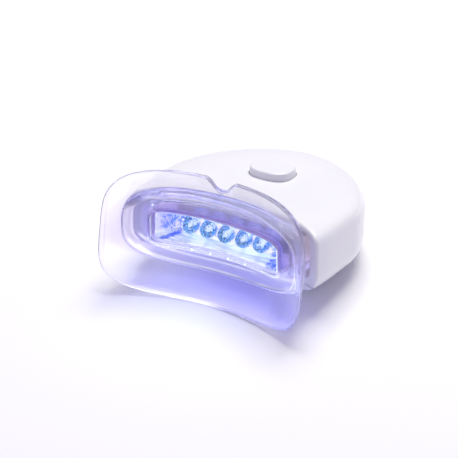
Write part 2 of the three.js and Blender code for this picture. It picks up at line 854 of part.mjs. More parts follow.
// The mouthpiece is one skin of loops: along the bore, up the basin, over the rim, out along
// the dished flange, round its edge and back along the sleeve that plugs into the socket.
function mouthpiece() {
  const angles = evenAngles(
    flangeHalfWidth,
    flangeHalfHeight,
    flangeRoundShare,
    mouthpieceFacets,
    (x, z) => (z > 0 && Math.abs(x) < notchHalfWidth ? 2 : 1),
  );
  const notchAt = (x) => {
    const turn = (Math.PI * x) / (2 * notchHalfWidth);
    return Math.abs(x) < notchHalfWidth ? notchDepth * Math.cos(turn) ** 2 : 0;
  };
  const loop = ({ halfWidth, halfHeight, roundShare, y, archShare = 1, spreadShare = 0 }) =>
    angles.map((angle) => {
      const x = halfWidth * rounded(Math.cos(-angle), roundShare);
      const height = -halfHeight * rounded(Math.sin(-angle), roundShare);
      const cut = height > 0 ? notchAt(x) * spreadShare ** 2 : 0;
      const lean = flangeLeanShare * height * spreadShare;
      const drop = cut + flangeDrop * spreadShare;
      return new THREE.Vector3(x, y - archShare * archSag(x) + lean, height - drop);
    });
  const mix = (from, to, share) => from + (to - from) * share;
  const boreHalfWidth = noseHalfWidth + clearance;
  const boreHalfHeight = noseHalfHeight + clearance;
  const basinY = rimCrestY + basinDepth;
  const rootY = rimCrestY + rimHeight;
  const rootHalfWidth = rimHalfWidth + rimRootFlare;
  const rootHalfHeight = rimHalfHeight + rimRootFlare;
  const bore = { halfWidth: boreHalfWidth, halfHeight: boreHalfHeight, roundShare: noseRoundShare };
  const rim = (grow, y) => ({
    halfWidth: rimHalfWidth + grow,
    halfHeight: rimHalfHeight + grow,
    roundShare: rimRoundShare,
    y,
  });
  const basin = (share) => ({
    halfWidth: mix(boreHalfWidth, rimHalfWidth - rimCrestHalfWall, share),
    halfHeight: mix(boreHalfHeight, rimHalfHeight - rimCrestHalfWall, share),
    roundShare: mix(noseRoundShare, rimRoundShare, share),
    y: mix(basinY, rimCrestY + rimCrestHalfWall / 2, share),
  });
  // A loop of the flange: the share runs from its root to its edge.
  const flange = (share, behind, inset = 0) => ({
    halfWidth: mix(rootHalfWidth, flangeHalfWidth, share) - inset,
    halfHeight: mix(rootHalfHeight, flangeHalfHeight, share) - inset,
    roundShare: mix(rimRoundShare, flangeRoundShare, share),
    y: flangeDishDepth * (1 - share) ** flangeDishRoundShare + behind,
    spreadShare: share,
  });
  const sleeve = (inset, y, archShare) => ({
    halfWidth: sleeveHalfWidth - inset,
    halfHeight: sleeveHalfHeight - inset,
    roundShare: noseRoundShare,
    y,
    archShare,
  });
  const edge = flangeWall / 4;
  const stations = [
    { ...bore, y: sleeveLength, archShare: 0 },
    { ...bore, y: basinY },
    ...basinStepShares.map(basin),
    basin(1),
    rim(0, rimCrestY),
    rim(rimCrestHalfWall, rimCrestY + rimCrestHalfWall / 2),
    rim(rimRootFlare * rimFootShare, mix(rimCrestY, rootY, rimFootDepthShare)),
    flange(0, 0),
    ...flangeStepShares.map((share) => flange(share, 0)),
    flange(1, 0, edge),
    flange(1, edge),
    flange(1, flangeWall - edge),
    flange(1, flangeWall, edge),
    ...flangeStepShares.toReversed().map((share) => flange(share, flangeWall)),
    flange(0, flangeWall),
    {
      halfWidth: (sleeveHalfWidth + rootHalfWidth) / 2,
      halfHeight: (sleeveHalfHeight + rootHalfHeight) / 2,
      roundShare: (noseRoundShare + rimRoundShare) / 2,
      y: basinY + flangeWall,
    },
    sleeve(0, basinY + 2 * flangeWall, 1),
    sleeve(0, sleeveLength - sleeveChamfer, 0),
    sleeve(sleeveChamfer, sleeveLength, 0),
  ];
  return solid(skin(stations.map(loop).reverse(), true));
}

// A coin cell: a can with a shallow step at its rim and a smaller cap face on top.
function coinCell(z) {
  const capRadius = cellRadius - cellCapInset;
  const profile = [
    new THREE.Vector2(0, 0),
    new THREE.Vector2(cellRadius, 0),
    new THREE.Vector2(cellRadius, cellHeight - cellCapHeight),
    new THREE.Vector2(capRadius, cellHeight - cellCapHeight),
    new THREE.Vector2(capRadius, cellHeight),
    new THREE.Vector2(0, cellHeight),
  ];
  const geometry = new THREE.LatheGeometry(profile, roundFacets);
  geometry.rotateX(Math.PI / 2);
  geometry.translate(0, bayCentreY, z);
  return solid(geometry);
}

// The negative contact is a leaf over the stack, the positive one stands beside the cells.
function contactNegative() {
  const x = negativeSlotX();
  const half = contactWidth / 2;
  const side = x + contactWall / 2;
  const leafTopZ = negativeZ + contactWall;
  return joined(
    block(-contactReach / 2, bayCentreY - half, negativeZ, side, bayCentreY + half, leafTopZ),
    block(side - contactWall, bayCentreY - half, negativeZ, side, bayCentreY + half, contactTopZ),
  );
}

function contactPositive() {
  const x = positiveSlotX();
  const half = contactWidth / 2;
  const side = x + contactWall / 2;
  const footZ = lowerCellZ + clearance;
  return block(side - contactWall, bayCentreY - half, footZ, side, bayCentreY + half, contactTopZ);
}

// A pan-head screw standing on its head, with a crossed recess below.
function screw(x, y, z, length) {
  const headTopZ = z + screwHeadHeight;
  const head = post(screwHeadRadius, x, y, z, headTopZ, smallFacets);
  const shank = post(screwShankRadius, x, y, z + screwSlotDepth, headTopZ + length, shankFacets);
  const reach = screwHeadRadius / 2;
  const half = screwSlotWidth / 2;
  const slots = [
    block(x - reach, y - half, z - overrun, x + reach, y + half, z + screwSlotDepth),
    block(x - half, y - reach, z - overrun, x + half, y + reach, z + screwSlotDepth),
  ];
  return cutBy(joined(head, shank), ...slots);
}

// A wire from the back of the lamp board, up behind the nose and onto the main board.
function wire(x) {
  const startY = ledBoardBackY + clearance;
  const endZ = mainBoardTopZ + clearance + wireRadius;
  const route = new THREE.CatmullRomCurve3([
    new THREE.Vector3(x, startY, 0),
    new THREE.Vector3(x, (startY + nosePlateBackY) / 2, 0),
    new THREE.Vector3(x, nosePlateBackY, endZ / 4),
    new THREE.Vector3(x, mainBoardFrontY - wireRadius * 2, endZ),
    new THREE.Vector3(x, mainBoardFrontY + wireRadius * 3, endZ),
  ]);
  const section = new THREE.Shape().absarc(0, 0, wireRadius, 0, 2 * Math.PI, false);
  const geometry = new THREE.ExtrudeGeometry(section, {
    steps: wireSteps,
    curveSegments: wireFacets,
    bevelEnabled: false,
    extrudePath: route,
  });
  return solid(geometry);
}

const lamp = new THREE.Group();

function add(name, body, material) {
  const mesh = new THREE.Mesh(geometryOf(body), material);
  mesh.name = name;
  lamp.add(mesh);
}

add("upper_shell", upperShell(), whitePlastic);
add("lower_shell", lowerShell(), whitePlastic);
add("battery_door", batteryDoor(), whitePlastic);
add("power_button", powerButton(), whitePlastic);
add("switch_body", switchBody(), blackEpoxy);
add("switch_plunger", switchPlunger(), innerPlastic);
add("main_board", mainBoard(), boardGreen);
add("driver_chip", driverChip(), blackEpoxy);
for (let i = 0; i < resistorCount; i++) add(`resistor_${i + 1}`, resistor(i), blackEpoxy);
add("lamp_nose", nose(), innerPlastic);
add("window_lens", windowLens(), clearWindow);
add("reflector", reflector(), chrome);
add("led_board", ledBoard(), boardGreen);
ledPlaces.forEach((x, i) => add(`led_${i + 1}`, led(x), blueLamp));
add("mouthpiece", mouthpiece(), clearSilicone);
add("coin_cell_lower", coinCell(lowerCellZ), nickel);
add("coin_cell_upper", coinCell(upperCellZ), nickel);
add("contact_negative", contactNegative(), nickel);
add("contact_positive", contactPositive(), nickel);
for (const [place, [x, y]] of Object.entries(caseScrewPlaces)) {
  add(`case_screw_${place}`, screw(x, y, screwHeadZ, caseScrewLength), steel);
}
for (const [place, [x, y]] of Object.entries(boardScrewPlaces)) {
  const z = mainBoardHeight - clearance - screwHeadHeight;
  add(`board_screw_${place}`, screw(x, y, z, boardScrewLength), steel);
}
add("wire_positive", wire(wireSpacing / 2), redWire);
add("wire_negative", wire(-wireSpacing / 2), blackWire);

// Tip the lamp about X until the flange and the rear of the body touch the floor together.
const lowest = (names) => {
  const box = new THREE.Box3();
  for (const name of names) box.expandByObject(lamp.getObjectByName(name), true);
  return box.min.z;
};
let flatter = 0;
let steeper = Math.PI / 4;
for (let i = 0; i < tipRounds; i++) {
  const middle = (flatter + steeper) / 2;
  lamp.rotation.x = -middle;
  lamp.updateMatrixWorld(true);
  if (lowest(["mouthpiece"]) < lowest(["lower_shell", "battery_door"])) flatter = middle;
  else steeper = middle;
}
const bounds = new THREE.Box3().setFromObject(lamp, true);
const centre = bounds.getCenter(new THREE.Vector3());
lamp.position.set(-centre.x, -centre.y, -bounds.min.z);

const whiteningLamp = new THREE.Group();
whiteningLamp.add(lamp);

export default whiteningLamp;
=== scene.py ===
import json
import math

import bpy
import numpy as np
from mathutils import Matrix, Vector


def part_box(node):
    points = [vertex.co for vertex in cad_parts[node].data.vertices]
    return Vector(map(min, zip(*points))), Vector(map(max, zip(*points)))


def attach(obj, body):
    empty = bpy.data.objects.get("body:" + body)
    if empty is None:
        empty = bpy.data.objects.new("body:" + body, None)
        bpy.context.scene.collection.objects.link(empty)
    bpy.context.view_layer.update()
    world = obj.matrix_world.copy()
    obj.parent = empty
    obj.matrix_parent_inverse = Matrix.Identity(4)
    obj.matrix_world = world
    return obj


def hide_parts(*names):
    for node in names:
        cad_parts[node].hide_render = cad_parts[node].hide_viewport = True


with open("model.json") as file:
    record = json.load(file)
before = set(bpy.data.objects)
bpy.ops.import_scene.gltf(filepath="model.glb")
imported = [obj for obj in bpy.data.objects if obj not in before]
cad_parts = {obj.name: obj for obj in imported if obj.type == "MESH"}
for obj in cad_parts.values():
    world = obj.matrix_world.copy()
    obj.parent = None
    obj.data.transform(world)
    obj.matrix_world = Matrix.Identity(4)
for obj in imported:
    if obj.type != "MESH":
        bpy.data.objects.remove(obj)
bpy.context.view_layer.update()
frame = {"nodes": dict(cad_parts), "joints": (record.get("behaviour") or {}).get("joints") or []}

bl_info = {
    "name": "Teeth whitening lamp",
    "version": (1, 0, 0),
    "blender": (4, 5, 0),
    "location": "3D View > Sidebar > Whitening lamp",
    "description": "Dresses the whitening lamp's frame with its surfaces and finishes",
    "category": "Object",
}

MM = 0.001

# Sizes of the lamp in millimetres, in its own level frame: +Y from the mouth to the body,
# origin where the axis of the lamp row meets the rim plane of the flange. A share is the
# power that rounds an outline: 1 gives an oval, and less comes nearer to a rectangle.
CLEARANCE = 0.3
ARCH_RADIUS = 64.0
BODY_HALF_WIDTH = 31.85
BODY_REAR_LENGTH = 32.1
BODY_FRONT_LENGTH = 31.0
BODY_WIDEST_Y = 22.9
BODY_TOP = 9.3
BODY_BOTTOM = 11.95
BODY_REAR_SHARE = 1.12
BODY_FRONT_SHARE = 0.42
BODY_TOP_SHARE = 0.33
BODY_BOTTOM_SHARE = 0.44
BODY_WALL = 1.5
BODY_EDGE = 1.1
PARTING_Z = -8.6
PARTING_GAP = 0.2
FRONT_FACE_Y = 11.4
SOCKET_HALF_WIDTH = 27.6
SOCKET_LIP = 0.5
BULKHEAD_WALL = 1.4
NOSE_HALF_WIDTH = 22.0
NOSE_HALF_HEIGHT = 5.9
NOSE_SHARE = 0.24
NOSE_WALL = 0.8
NOSE_LEDGE = 0.5
NOSE_LEDGE_WALL = 0.8
NOSE_FRONT_Y = 2.1
NOSE_MIDDLE_Y = 6.0
NOSE_REAR_Y = 12.0
NOSE_PLATE_Y = 18.6
NOSE_EDGE = 0.3
LENS_WALL = 1.0
LENS_PLAY = 0.05
LENS_EDGE = 0.22
TROUGH_WALL = 0.4
TROUGH_FRONT_Y = 4.5
TROUGH_BACK_Y = 6.3
TROUGH_END_MARGIN = 1.5
TROUGH_TOP_MARGIN = 0.175
TROUGH_ROLL = 0.25
TROUGH_ROLL_DEPTH = 0.12
LAMP_COUNT = 5
LAMP_PITCH = 5.9
LAMP_RADIUS = 2.3
LAMP_TIP_Y = 3.4
LAMP_LENGTH = 8.6
COLLAR_RADIUS = 2.75
COLLAR_HEIGHT = 1.0
COLLAR_EDGE = 0.05
BASE_MIDDLE_RADIUS = 0.3
LAMP_HOLE_Y = (5.6, 7.6)
SLEEVE_HALF_HEIGHT = 7.1
SLEEVE_HALF_WIDTH = 25.2
SLEEVE_Y = 16.6
SLEEVE_CHAMFER = 0.4
FLANGE_HALF_WIDTH = 33.4
FLANGE_HALF_HEIGHT = 18.6
FLANGE_SHARE = 0.5
FLANGE_WALL = 1.4
FLANGE_DROP = 0.6
FLANGE_DISH = 5.2
FLANGE_DISH_SHARE = 1.15
FLANGE_LEAN_SHARE = 0.164
NOTCH_HALF_WIDTH = 5.4
NOTCH_DEPTH = 3.5
RIM_HALF_WIDTH = 28.4
RIM_HALF_HEIGHT = 10.7
RIM_SHARE = 0.62
RIM_CREST_Y = 2.7
RIM_CREST_HALF_WALL = 1.0
RIM_HEIGHT = 2.6
RIM_FLARE = 1.5
BASIN_DEPTH = 3.9
BASIN_BOW = 0.35
BUTTON_Y = 31.2
BUTTON_HALF_WIDTH = 6.6
BUTTON_HALF_LENGTH = 5.2
BUTTON_SHARE = 0.75
BUTTON_RISE = 2.4
BUTTON_EDGE = 0.55
BUTTON_DISH = 0.06
BUTTON_FILLET = 0.15
BUTTON_FLANGE = 1.0
BUTTON_FLANGE_WALL = 0.8
BUTTON_STEM_RADIUS = 1.9
BUTTON_STEM_Z = 6.3
BUTTON_HOLE_Z = (4.0, 20.0)
BOARD_BOX_CENTRE = (0.0, (24 + 37.1) / 2, 2.2 + 1.2 / 2)

# A closed end starts from a loop of this size, or of this share of the whole.
POLE = 0.02

# How far the cutting tools reach past what they cut.
FAR = 60.0

# Corners of a CAD node's loose triangles are joined where they lie this near.
JOIN_REACH = 0.002

# The camera that was fitted to the photograph, in the lamp's own level frame.
CAMERA_PLACE = (337.15, -535.59, 310.92)
CAMERA_TURN = 31.84
CAMERA_FALL = 25.86
CAMERA_ROLL = 0.13
CAMERA_LENS = 197.26
CAMERA_SENSOR = 36


# Settings


class WhiteningLampSettings(bpy.types.PropertyGroup):
    """Colours and amounts that a user would change"""

    body_colour: bpy.props.FloatVectorProperty(
        name="Body colour", description="Gloss plastic of the body and the button",
        subtype="COLOR", size=3, min=0, max=1, default=(0.865, 0.865, 0.88))
    # The lower lip's colour of painted shade and painted blue lamp light
    lip_shade_tint: bpy.props.FloatVectorProperty(
        name="Mouthpiece tint", description="Colour that the clear plastic takes where it is thick",
        subtype="COLOR", size=3, min=0, max=1, default=(0.74, 0.73, 1.0))
    lamp_colour: bpy.props.FloatVectorProperty(
        name="Lamp colour", description="Colour of the lit lamps",
        subtype="COLOR", size=3, min=0, max=1, default=(0.06, 0.28, 0.92))
    lamp_glow: bpy.props.FloatProperty(
        name="Lamp glow", description="Strength of the light from the lamp domes",
        min=0, max=20, default=0.55)
    parting_groove: bpy.props.FloatProperty(
        name="Parting groove", description="Width of the line between the shells",
        subtype="DISTANCE", unit="LENGTH", min=0.0, max=0.001, default=PARTING_GAP * MM)


# From the lamp's level frame to its place at rest


def lamp_turn():
    """The turn of the resting lamp about X, read from the direction in which the mouthpiece
    is pulled off, which is -Y in the lamp's own frame."""
    pull = next(j for j in frame["joints"] if j["name"] == "mouthpiece_pull")["axis"]
    return Matrix.Rotation(math.atan2(-pull[2], -pull[1]), 3, "X")


def lamp_place(turn):
    """The resting place of the lamp's origin, from the circuit board: its box has the same
    centre whichever way it is turned."""
    low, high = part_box("main_board")
    return (low + high) / 2 - turn @ (Vector(BOARD_BOX_CENTRE) * MM)


TURN = lamp_turn()
PLACE = lamp_place(TURN)


def at_rest(point):
    """A place in lamp millimetres as metres in the frame."""
    return TURN @ (Vector(point) * MM) + PLACE


def all_at_rest(points):
    """Places in lamp millimetres as metres in the frame, as a whole array."""
    return np.asarray(points, float) * MM @ np.array(TURN).T + np.array(PLACE)


# Curves


def rounded(value, share):
    """A signed power, which turns a circle into a rounded rectangle as the share falls."""
    return np.sign(value) * np.abs(value) ** share


def between(first, last, share):
    """The value at a share of the way from the first to the last."""
    return first + (last - first) * share


def arch_sag(x):
    """How far the arch of the mouthpiece has come forward at x: its radius, less the root of
    the radius squared less x squared."""
    return ARCH_RADIUS - np.sqrt(np.maximum(ARCH_RADIUS**2 - x**2, 0))


def even_angles(half_width, half_height, share, count, fine_steps=8000):
    """Angles that walk a rounded rectangle in even steps: its length is summed in fine steps
    and read back at even shares."""
    angle = np.linspace(0, 2 * math.pi, fine_steps + 1)
    x = half_width * rounded(np.cos(angle), share)
    z = half_height * rounded(np.sin(angle), share)
    length = np.concatenate([[0], np.cumsum(np.hypot(np.diff(x), np.diff(z)))])
    return np.interp(np.arange(count) / count * length[-1], length, angle)


def polar_radius(turn, half_width, half_height, share):
    """The radius of a rounded rectangle in the direction of each angle: the power sum of its
    width and height shares, taken to the inverse power."""
    power = 2 / share
    wide = np.abs(np.cos(turn) / half_width) ** power
    tall = np.abs(np.sin(turn) / half_height) ** power
    return (wide + tall) ** (-share / 2)


def outline_normals(x, z):
    """Unit normals of a closed outline, pointing out of it when it runs anticlockwise: the
    step from the point before to the point after, turned by a right angle."""
    dx = np.roll(x, -1) - np.roll(x, 1)
    dz = np.roll(z, -1) - np.roll(z, 1)
    size = np.hypot(dx, dz)
    return dz / size, -dx / size


def quarter_round(radius, count):
    """Steps along a quarter round as pairs: the radius times 1 less the cosine, which grows
    from 0, and the radius times 1 less the sine, which falls to 0."""
    bend = np.linspace(0, math.pi / 2, count)
    return list(zip(radius * (1 - np.cos(bend)), radius * (1 - np.sin(bend))))


def arched_loops(stations, angle, share=NOSE_SHARE):
    """Rounded rectangles along Y, each given as half width, half height, y and how far it
    follows the arch: x and z are the signed powers of cosine and sine, and y comes forward
    by the arch's sag."""
    width, height, y, arch = (column[:, None] for column in np.array(stations).T)
    x = width * rounded(np.cos(angle), share)
    z = height * rounded(np.sin(angle), share)
    return np.stack([x, y - arch * arch_sag(x), z], -1)


# Meshes


def new_object(name, data):
    """A new object in the scene."""
    made = bpy.data.objects.new(name, data)
    bpy.context.scene.collection.objects.link(made)
    return made


def closed_mesh(name, grid, ring=False):
    """A new object from a grid of rows and columns in lamp millimetres. The columns close on
    themselves. The rows do too if they are a ring, and otherwise the first and the last
    row each close in a fan round their middle."""
    rows, columns = grid.shape[:2]
    points = grid.reshape(-1, 3)
    row, column = np.meshgrid(
        np.arange(rows if ring else rows - 1), np.arange(columns), indexing="ij")
    after = (row + 1) % rows
    beside = (column + 1) % columns
    quads = np.stack([row * columns + column, row * columns + beside,
                      after * columns + beside, after * columns + column], -1)
    faces = quads.reshape(-1, 4).tolist()
    if not ring:
        points = np.vstack([points, grid[0].mean(0), grid[-1].mean(0)])
        here = np.arange(columns)
        there = (here + 1) % columns
        last = (rows - 1) * columns
        first_fan = np.stack([there, here, np.full(columns, rows * columns)], -1)
        last_fan = np.stack([last + here, last + there, np.full(columns, rows * columns + 1)], -1)
        faces += np.stack([first_fan, last_fan], 1).reshape(-1, 3).tolist()
    mesh = bpy.data.meshes.new(name)
    mesh.from_pydata(all_at_rest(points).tolist(), [], faces)
    mesh.polygons.foreach_set("use_smooth", np.ones(len(mesh.polygons), bool))
    mesh.update()
    piece = new_object(name, mesh)
    face_outwards(piece)
    return piece


def face_outwards(piece):
    """Turns the whole mesh round if the volume that its faces enclose, summed as the triple
    products of their corners, comes out negative."""
    mesh = piece.data
    mesh.calc_loop_triangles()
    places = np.empty(len(mesh.vertices) * 3)
    mesh.vertices.foreach_get("co", places)
    corners = np.empty(len(mesh.loop_triangles) * 3, int)
    mesh.loop_triangles.foreach_get("vertices", corners)
    a, b, c = (places.reshape(-1, 3)[corners.reshape(-1, 3)[:, k]] for k in range(3))
    if np.einsum("ij,ij->i", a, np.cross(b, c)).sum() < 0:
        mesh.flip_normals()


def settle(piece, body, finish, stands_for):
    """Gives a piece its finish and its body, and hides the CAD node that it stands for."""
    give_finish(piece, finish)
    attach(piece, body)
    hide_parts(stands_for)
    return piece


def give_finish(piece, finish):
    """Makes the finish the only one of the piece."""
    piece.data.materials.clear()
    piece.data.materials.append(finish)


def creased(piece, degrees):
    """Smooth shading that stays crisp where faces meet at more than the angle."""
    piece.data.polygons.foreach_set("use_smooth", np.ones(len(piece.data.polygons), bool))
    piece.data.set_sharp_from_angle(angle=math.radians(degrees))


def baked(piece):
    """The piece with its modifiers applied to a mesh of its own."""
    depsgraph = bpy.context.evaluated_depsgraph_get()
    made = bpy.data.meshes.new_from_object(piece.evaluated_get(depsgraph))
    piece.modifiers.clear()
    piece.data = made
    return piece


def merged_copy(node, name):
    """A copy of a CAD node's mesh as a new object, with its loose triangles joined."""
    piece = new_object(name, frame["nodes"][node].data.copy())
    weld = piece.modifiers.new("Join", "WELD")
    weld.merge_threshold = JOIN_REACH * MM
    return baked(piece)


def cut_with(piece, tools):
    """Takes the tools out of the piece, which keeps its finish, and removes them."""
    finish = piece.data.materials[0]
    for tool in tools:
        cut = piece.modifiers.new("Cut", "BOOLEAN")
        cut.object = tool
        cut.operation = "DIFFERENCE"
        cut.solver = "EXACT"
    bpy.context.view_layer.update()
    baked(piece)
    give_finish(piece, finish)
    for tool in tools:
        bpy.data.objects.remove(tool)


def upright_prism(x, y, low, high):
    """Rows of an upright prism: its outline at the low and at the high level."""
    return np.stack([np.stack([x, y, np.full_like(x, level)], -1) for level in (low, high)])


# Shader expressions


class Wire:
    """A value in a shader. Arithmetic on it adds Math nodes to its finish."""

    def __init__(self, finish, socket):
        self.finish = finish
        self.socket = socket

    def _math(self, operation, *values):
        made = self.finish.node("ShaderNodeMath", {"operation": operation}, dict(enumerate(values)))
        return Wire(self.finish, made.outputs[0])

    def __add__(self, other):
        return self._math("ADD", self, other)

    def __sub__(self, other):
        return self._math("SUBTRACT", self, other)

    def __rsub__(self, other):
        return self._math("SUBTRACT", other, self)

    def __mul__(self, other):
        return self._math("MULTIPLY", self, other)

    def __truediv__(self, other):
        return self._math("DIVIDE", self, other)

    def __pow__(self, other):
        return self._math("POWER", self, other)

    def __abs__(self):
        return self._math("ABSOLUTE", self)

    __radd__ = __add__
    __rmul__ = __mul__

    def above(self, low, high):
        """Runs from 0 at low to 1 at high, softly, and stays there. It falls with the value
        where high is the lesser."""
        made = self.finish.node(
            "ShaderNodeMapRange", {"interpolation_type": "SMOOTHSTEP"},
            {"Value": self, "From Min": low, "From Max": high})
        return Wire(self.finish, made.outputs["Result"])

    def band(self, low, high, soft):
        """Is 1 between low and high and falls to 0 over the soft distance beyond them."""
        return self.above(low - soft, low) * self.above(high + soft, high)

    def from_row(self, first):
        """How far the value lies past the nearest place of a row. The places are a lamp pitch
        apart, and one of them is first."""
        shifted = self + (LAMP_PITCH / 2 - first)
        return shifted._math("WRAP", shifted, LAMP_PITCH, 0.0) - LAMP_PITCH / 2


def distance(across, up):
    """The length of a step across and up: the root of the sum of their squares."""
    return (across * across + up * up) ** 0.5


def outline_share(x, z, half_width, half_height, share):
    """How far out a point lies, as a share of a rounded rectangle that is 1 on its outline:
    the power sum of its shares of the width and height, taken to the inverse power."""
    power = 2 / share
    return (abs(x / half_width) ** power + abs(z / half_height) ** power) ** (1 / power)


def arch_depth(x, y, bow=1.03):
    """How far a point lies behind the arch through the origin, whose sag is near x squared
    over its diameter. The bow makes up for what the square leaves out."""
    return y + x * x / (2 * ARCH_RADIUS) * bow


class Finish:
    """One material, with its shader and a method that adds any node."""

    def __init__(self, name, **sockets):
        self.material = bpy.data.materials.new(name)
        self.material.use_nodes = True
        self.tree = self.material.node_tree
        self.shader = self.tree.nodes["Principled BSDF"]
        self.point = None
        self.set(**sockets)

    def set(self, **sockets):
        """Puts values or wires into the shader's sockets, named with _ for a space."""
        for name, value in sockets.items():
            self.put(self.shader.inputs[name.replace("_", " ")], value)

    def put(self, socket, value):
        """Links a wire or a socket, and sets anything else. A colour gets an alpha of 1."""
        if isinstance(value, Wire):
            self.tree.links.new(value.socket, socket)
        elif isinstance(value, bpy.types.NodeSocket):
            self.tree.links.new(value, socket)
        elif hasattr(value, "__len__") and socket.type == "RGBA":
            socket.default_value = (*value, 1.0)
        else:
            socket.default_value = value

    def node(self, kind, settings=None, values=None):
        """Adds a node: its settings first, then the values or links of its sockets."""
        made = self.tree.nodes.new(kind)
        for key, value in (settings or {}).items():
            setattr(made, key, value)
        for key, value in (values or {}).items():
            self.put(made.inputs[key], value)
        return made

    def place(self):
        """The point on the surface in lamp millimetres, as separate x, y and z wires."""
        coordinate = self.node("ShaderNodeTexCoord").outputs["Object"]
        moved = self.node(
            "ShaderNodeVectorMath", {"operation": "SUBTRACT"}, {0: coordinate, 1: tuple(PLACE)})
        turned = self.node(
            "ShaderNodeVectorRotate", {"rotation_type": "X_AXIS"},
            {"Vector": moved.outputs[0], "Angle": -TURN.to_euler().x})
        scaled = self.node(
            "ShaderNodeVectorMath", {"operation": "SCALE"},
            {0: turned.outputs[0], "Scale": 1 / MM})
        parts = self.node("ShaderNodeSeparateXYZ", None, {0: scaled.outputs[0]})
        self.point = scaled.outputs[0]
        return tuple(Wire(self, parts.outputs[k]) for k in range(3))

    def noise(self, scale, detail=3.0, roughness=0.5, distortion=0.0, vector=None):
        """Noise with its scale in features per millimetre."""
        made = self.node(
            "ShaderNodeTexNoise", None,
            {"Vector": vector or self.point, "Scale": scale, "Detail": detail,
             "Roughness": roughness, "Distortion": distortion})
        return Wire(self, made.outputs[0])

    def mix(self, amount, first, second):
        """The first colour where the amount is 0, the second where it is 1. A Mix node's
        colours are its inputs 6 and 7 and its output 2."""
        made = self.node("ShaderNodeMix", {"data_type": "RGBA"},
                         {"Factor": amount, 6: first, 7: second})
        return made.outputs[2]

    def bump(self, height, depth_mm, strength):
        """Lets the height wire raise the surface by up to the depth."""
        made = self.node("ShaderNodeBump", None,
                         {"Height": height, "Distance": depth_mm * MM, "Strength": strength})
        self.set(Normal=made.outputs["Normal"])


def scaled_colour(colour, by):
    """A colour with each of its parts multiplied."""
    return tuple(part * share for part, share in zip(colour, by))


# Finishes, with places in lamp millimetres and scales in features per millimetre


def gloss_body(settings):
    """High-gloss white moulding: a faint flow pattern in its colour and gloss, and a very
    slight ripple."""
    finish = Finish("gloss_white", Coat_Weight=0.35, Coat_Roughness=0.06, IOR=1.5)
    finish.place()
    flow = finish.noise(0.05, detail=2.0)
    grain = finish.noise(1.6, detail=4.0, roughness=0.6)
    ripple = finish.noise(0.22, detail=1.0)
    colour = tuple(settings.body_colour)
    cooler = scaled_colour(colour, (0.975, 0.98, 1.0))
    finish.set(Base_Color=finish.mix(flow.above(0.35, 0.65), colour, cooler),
               Roughness=0.2 + flow * 0.06 + grain * 0.04)
    finish.bump(grain * 0.6 + ripple * 0.4, 0.012, 0.5)
    return finish.material


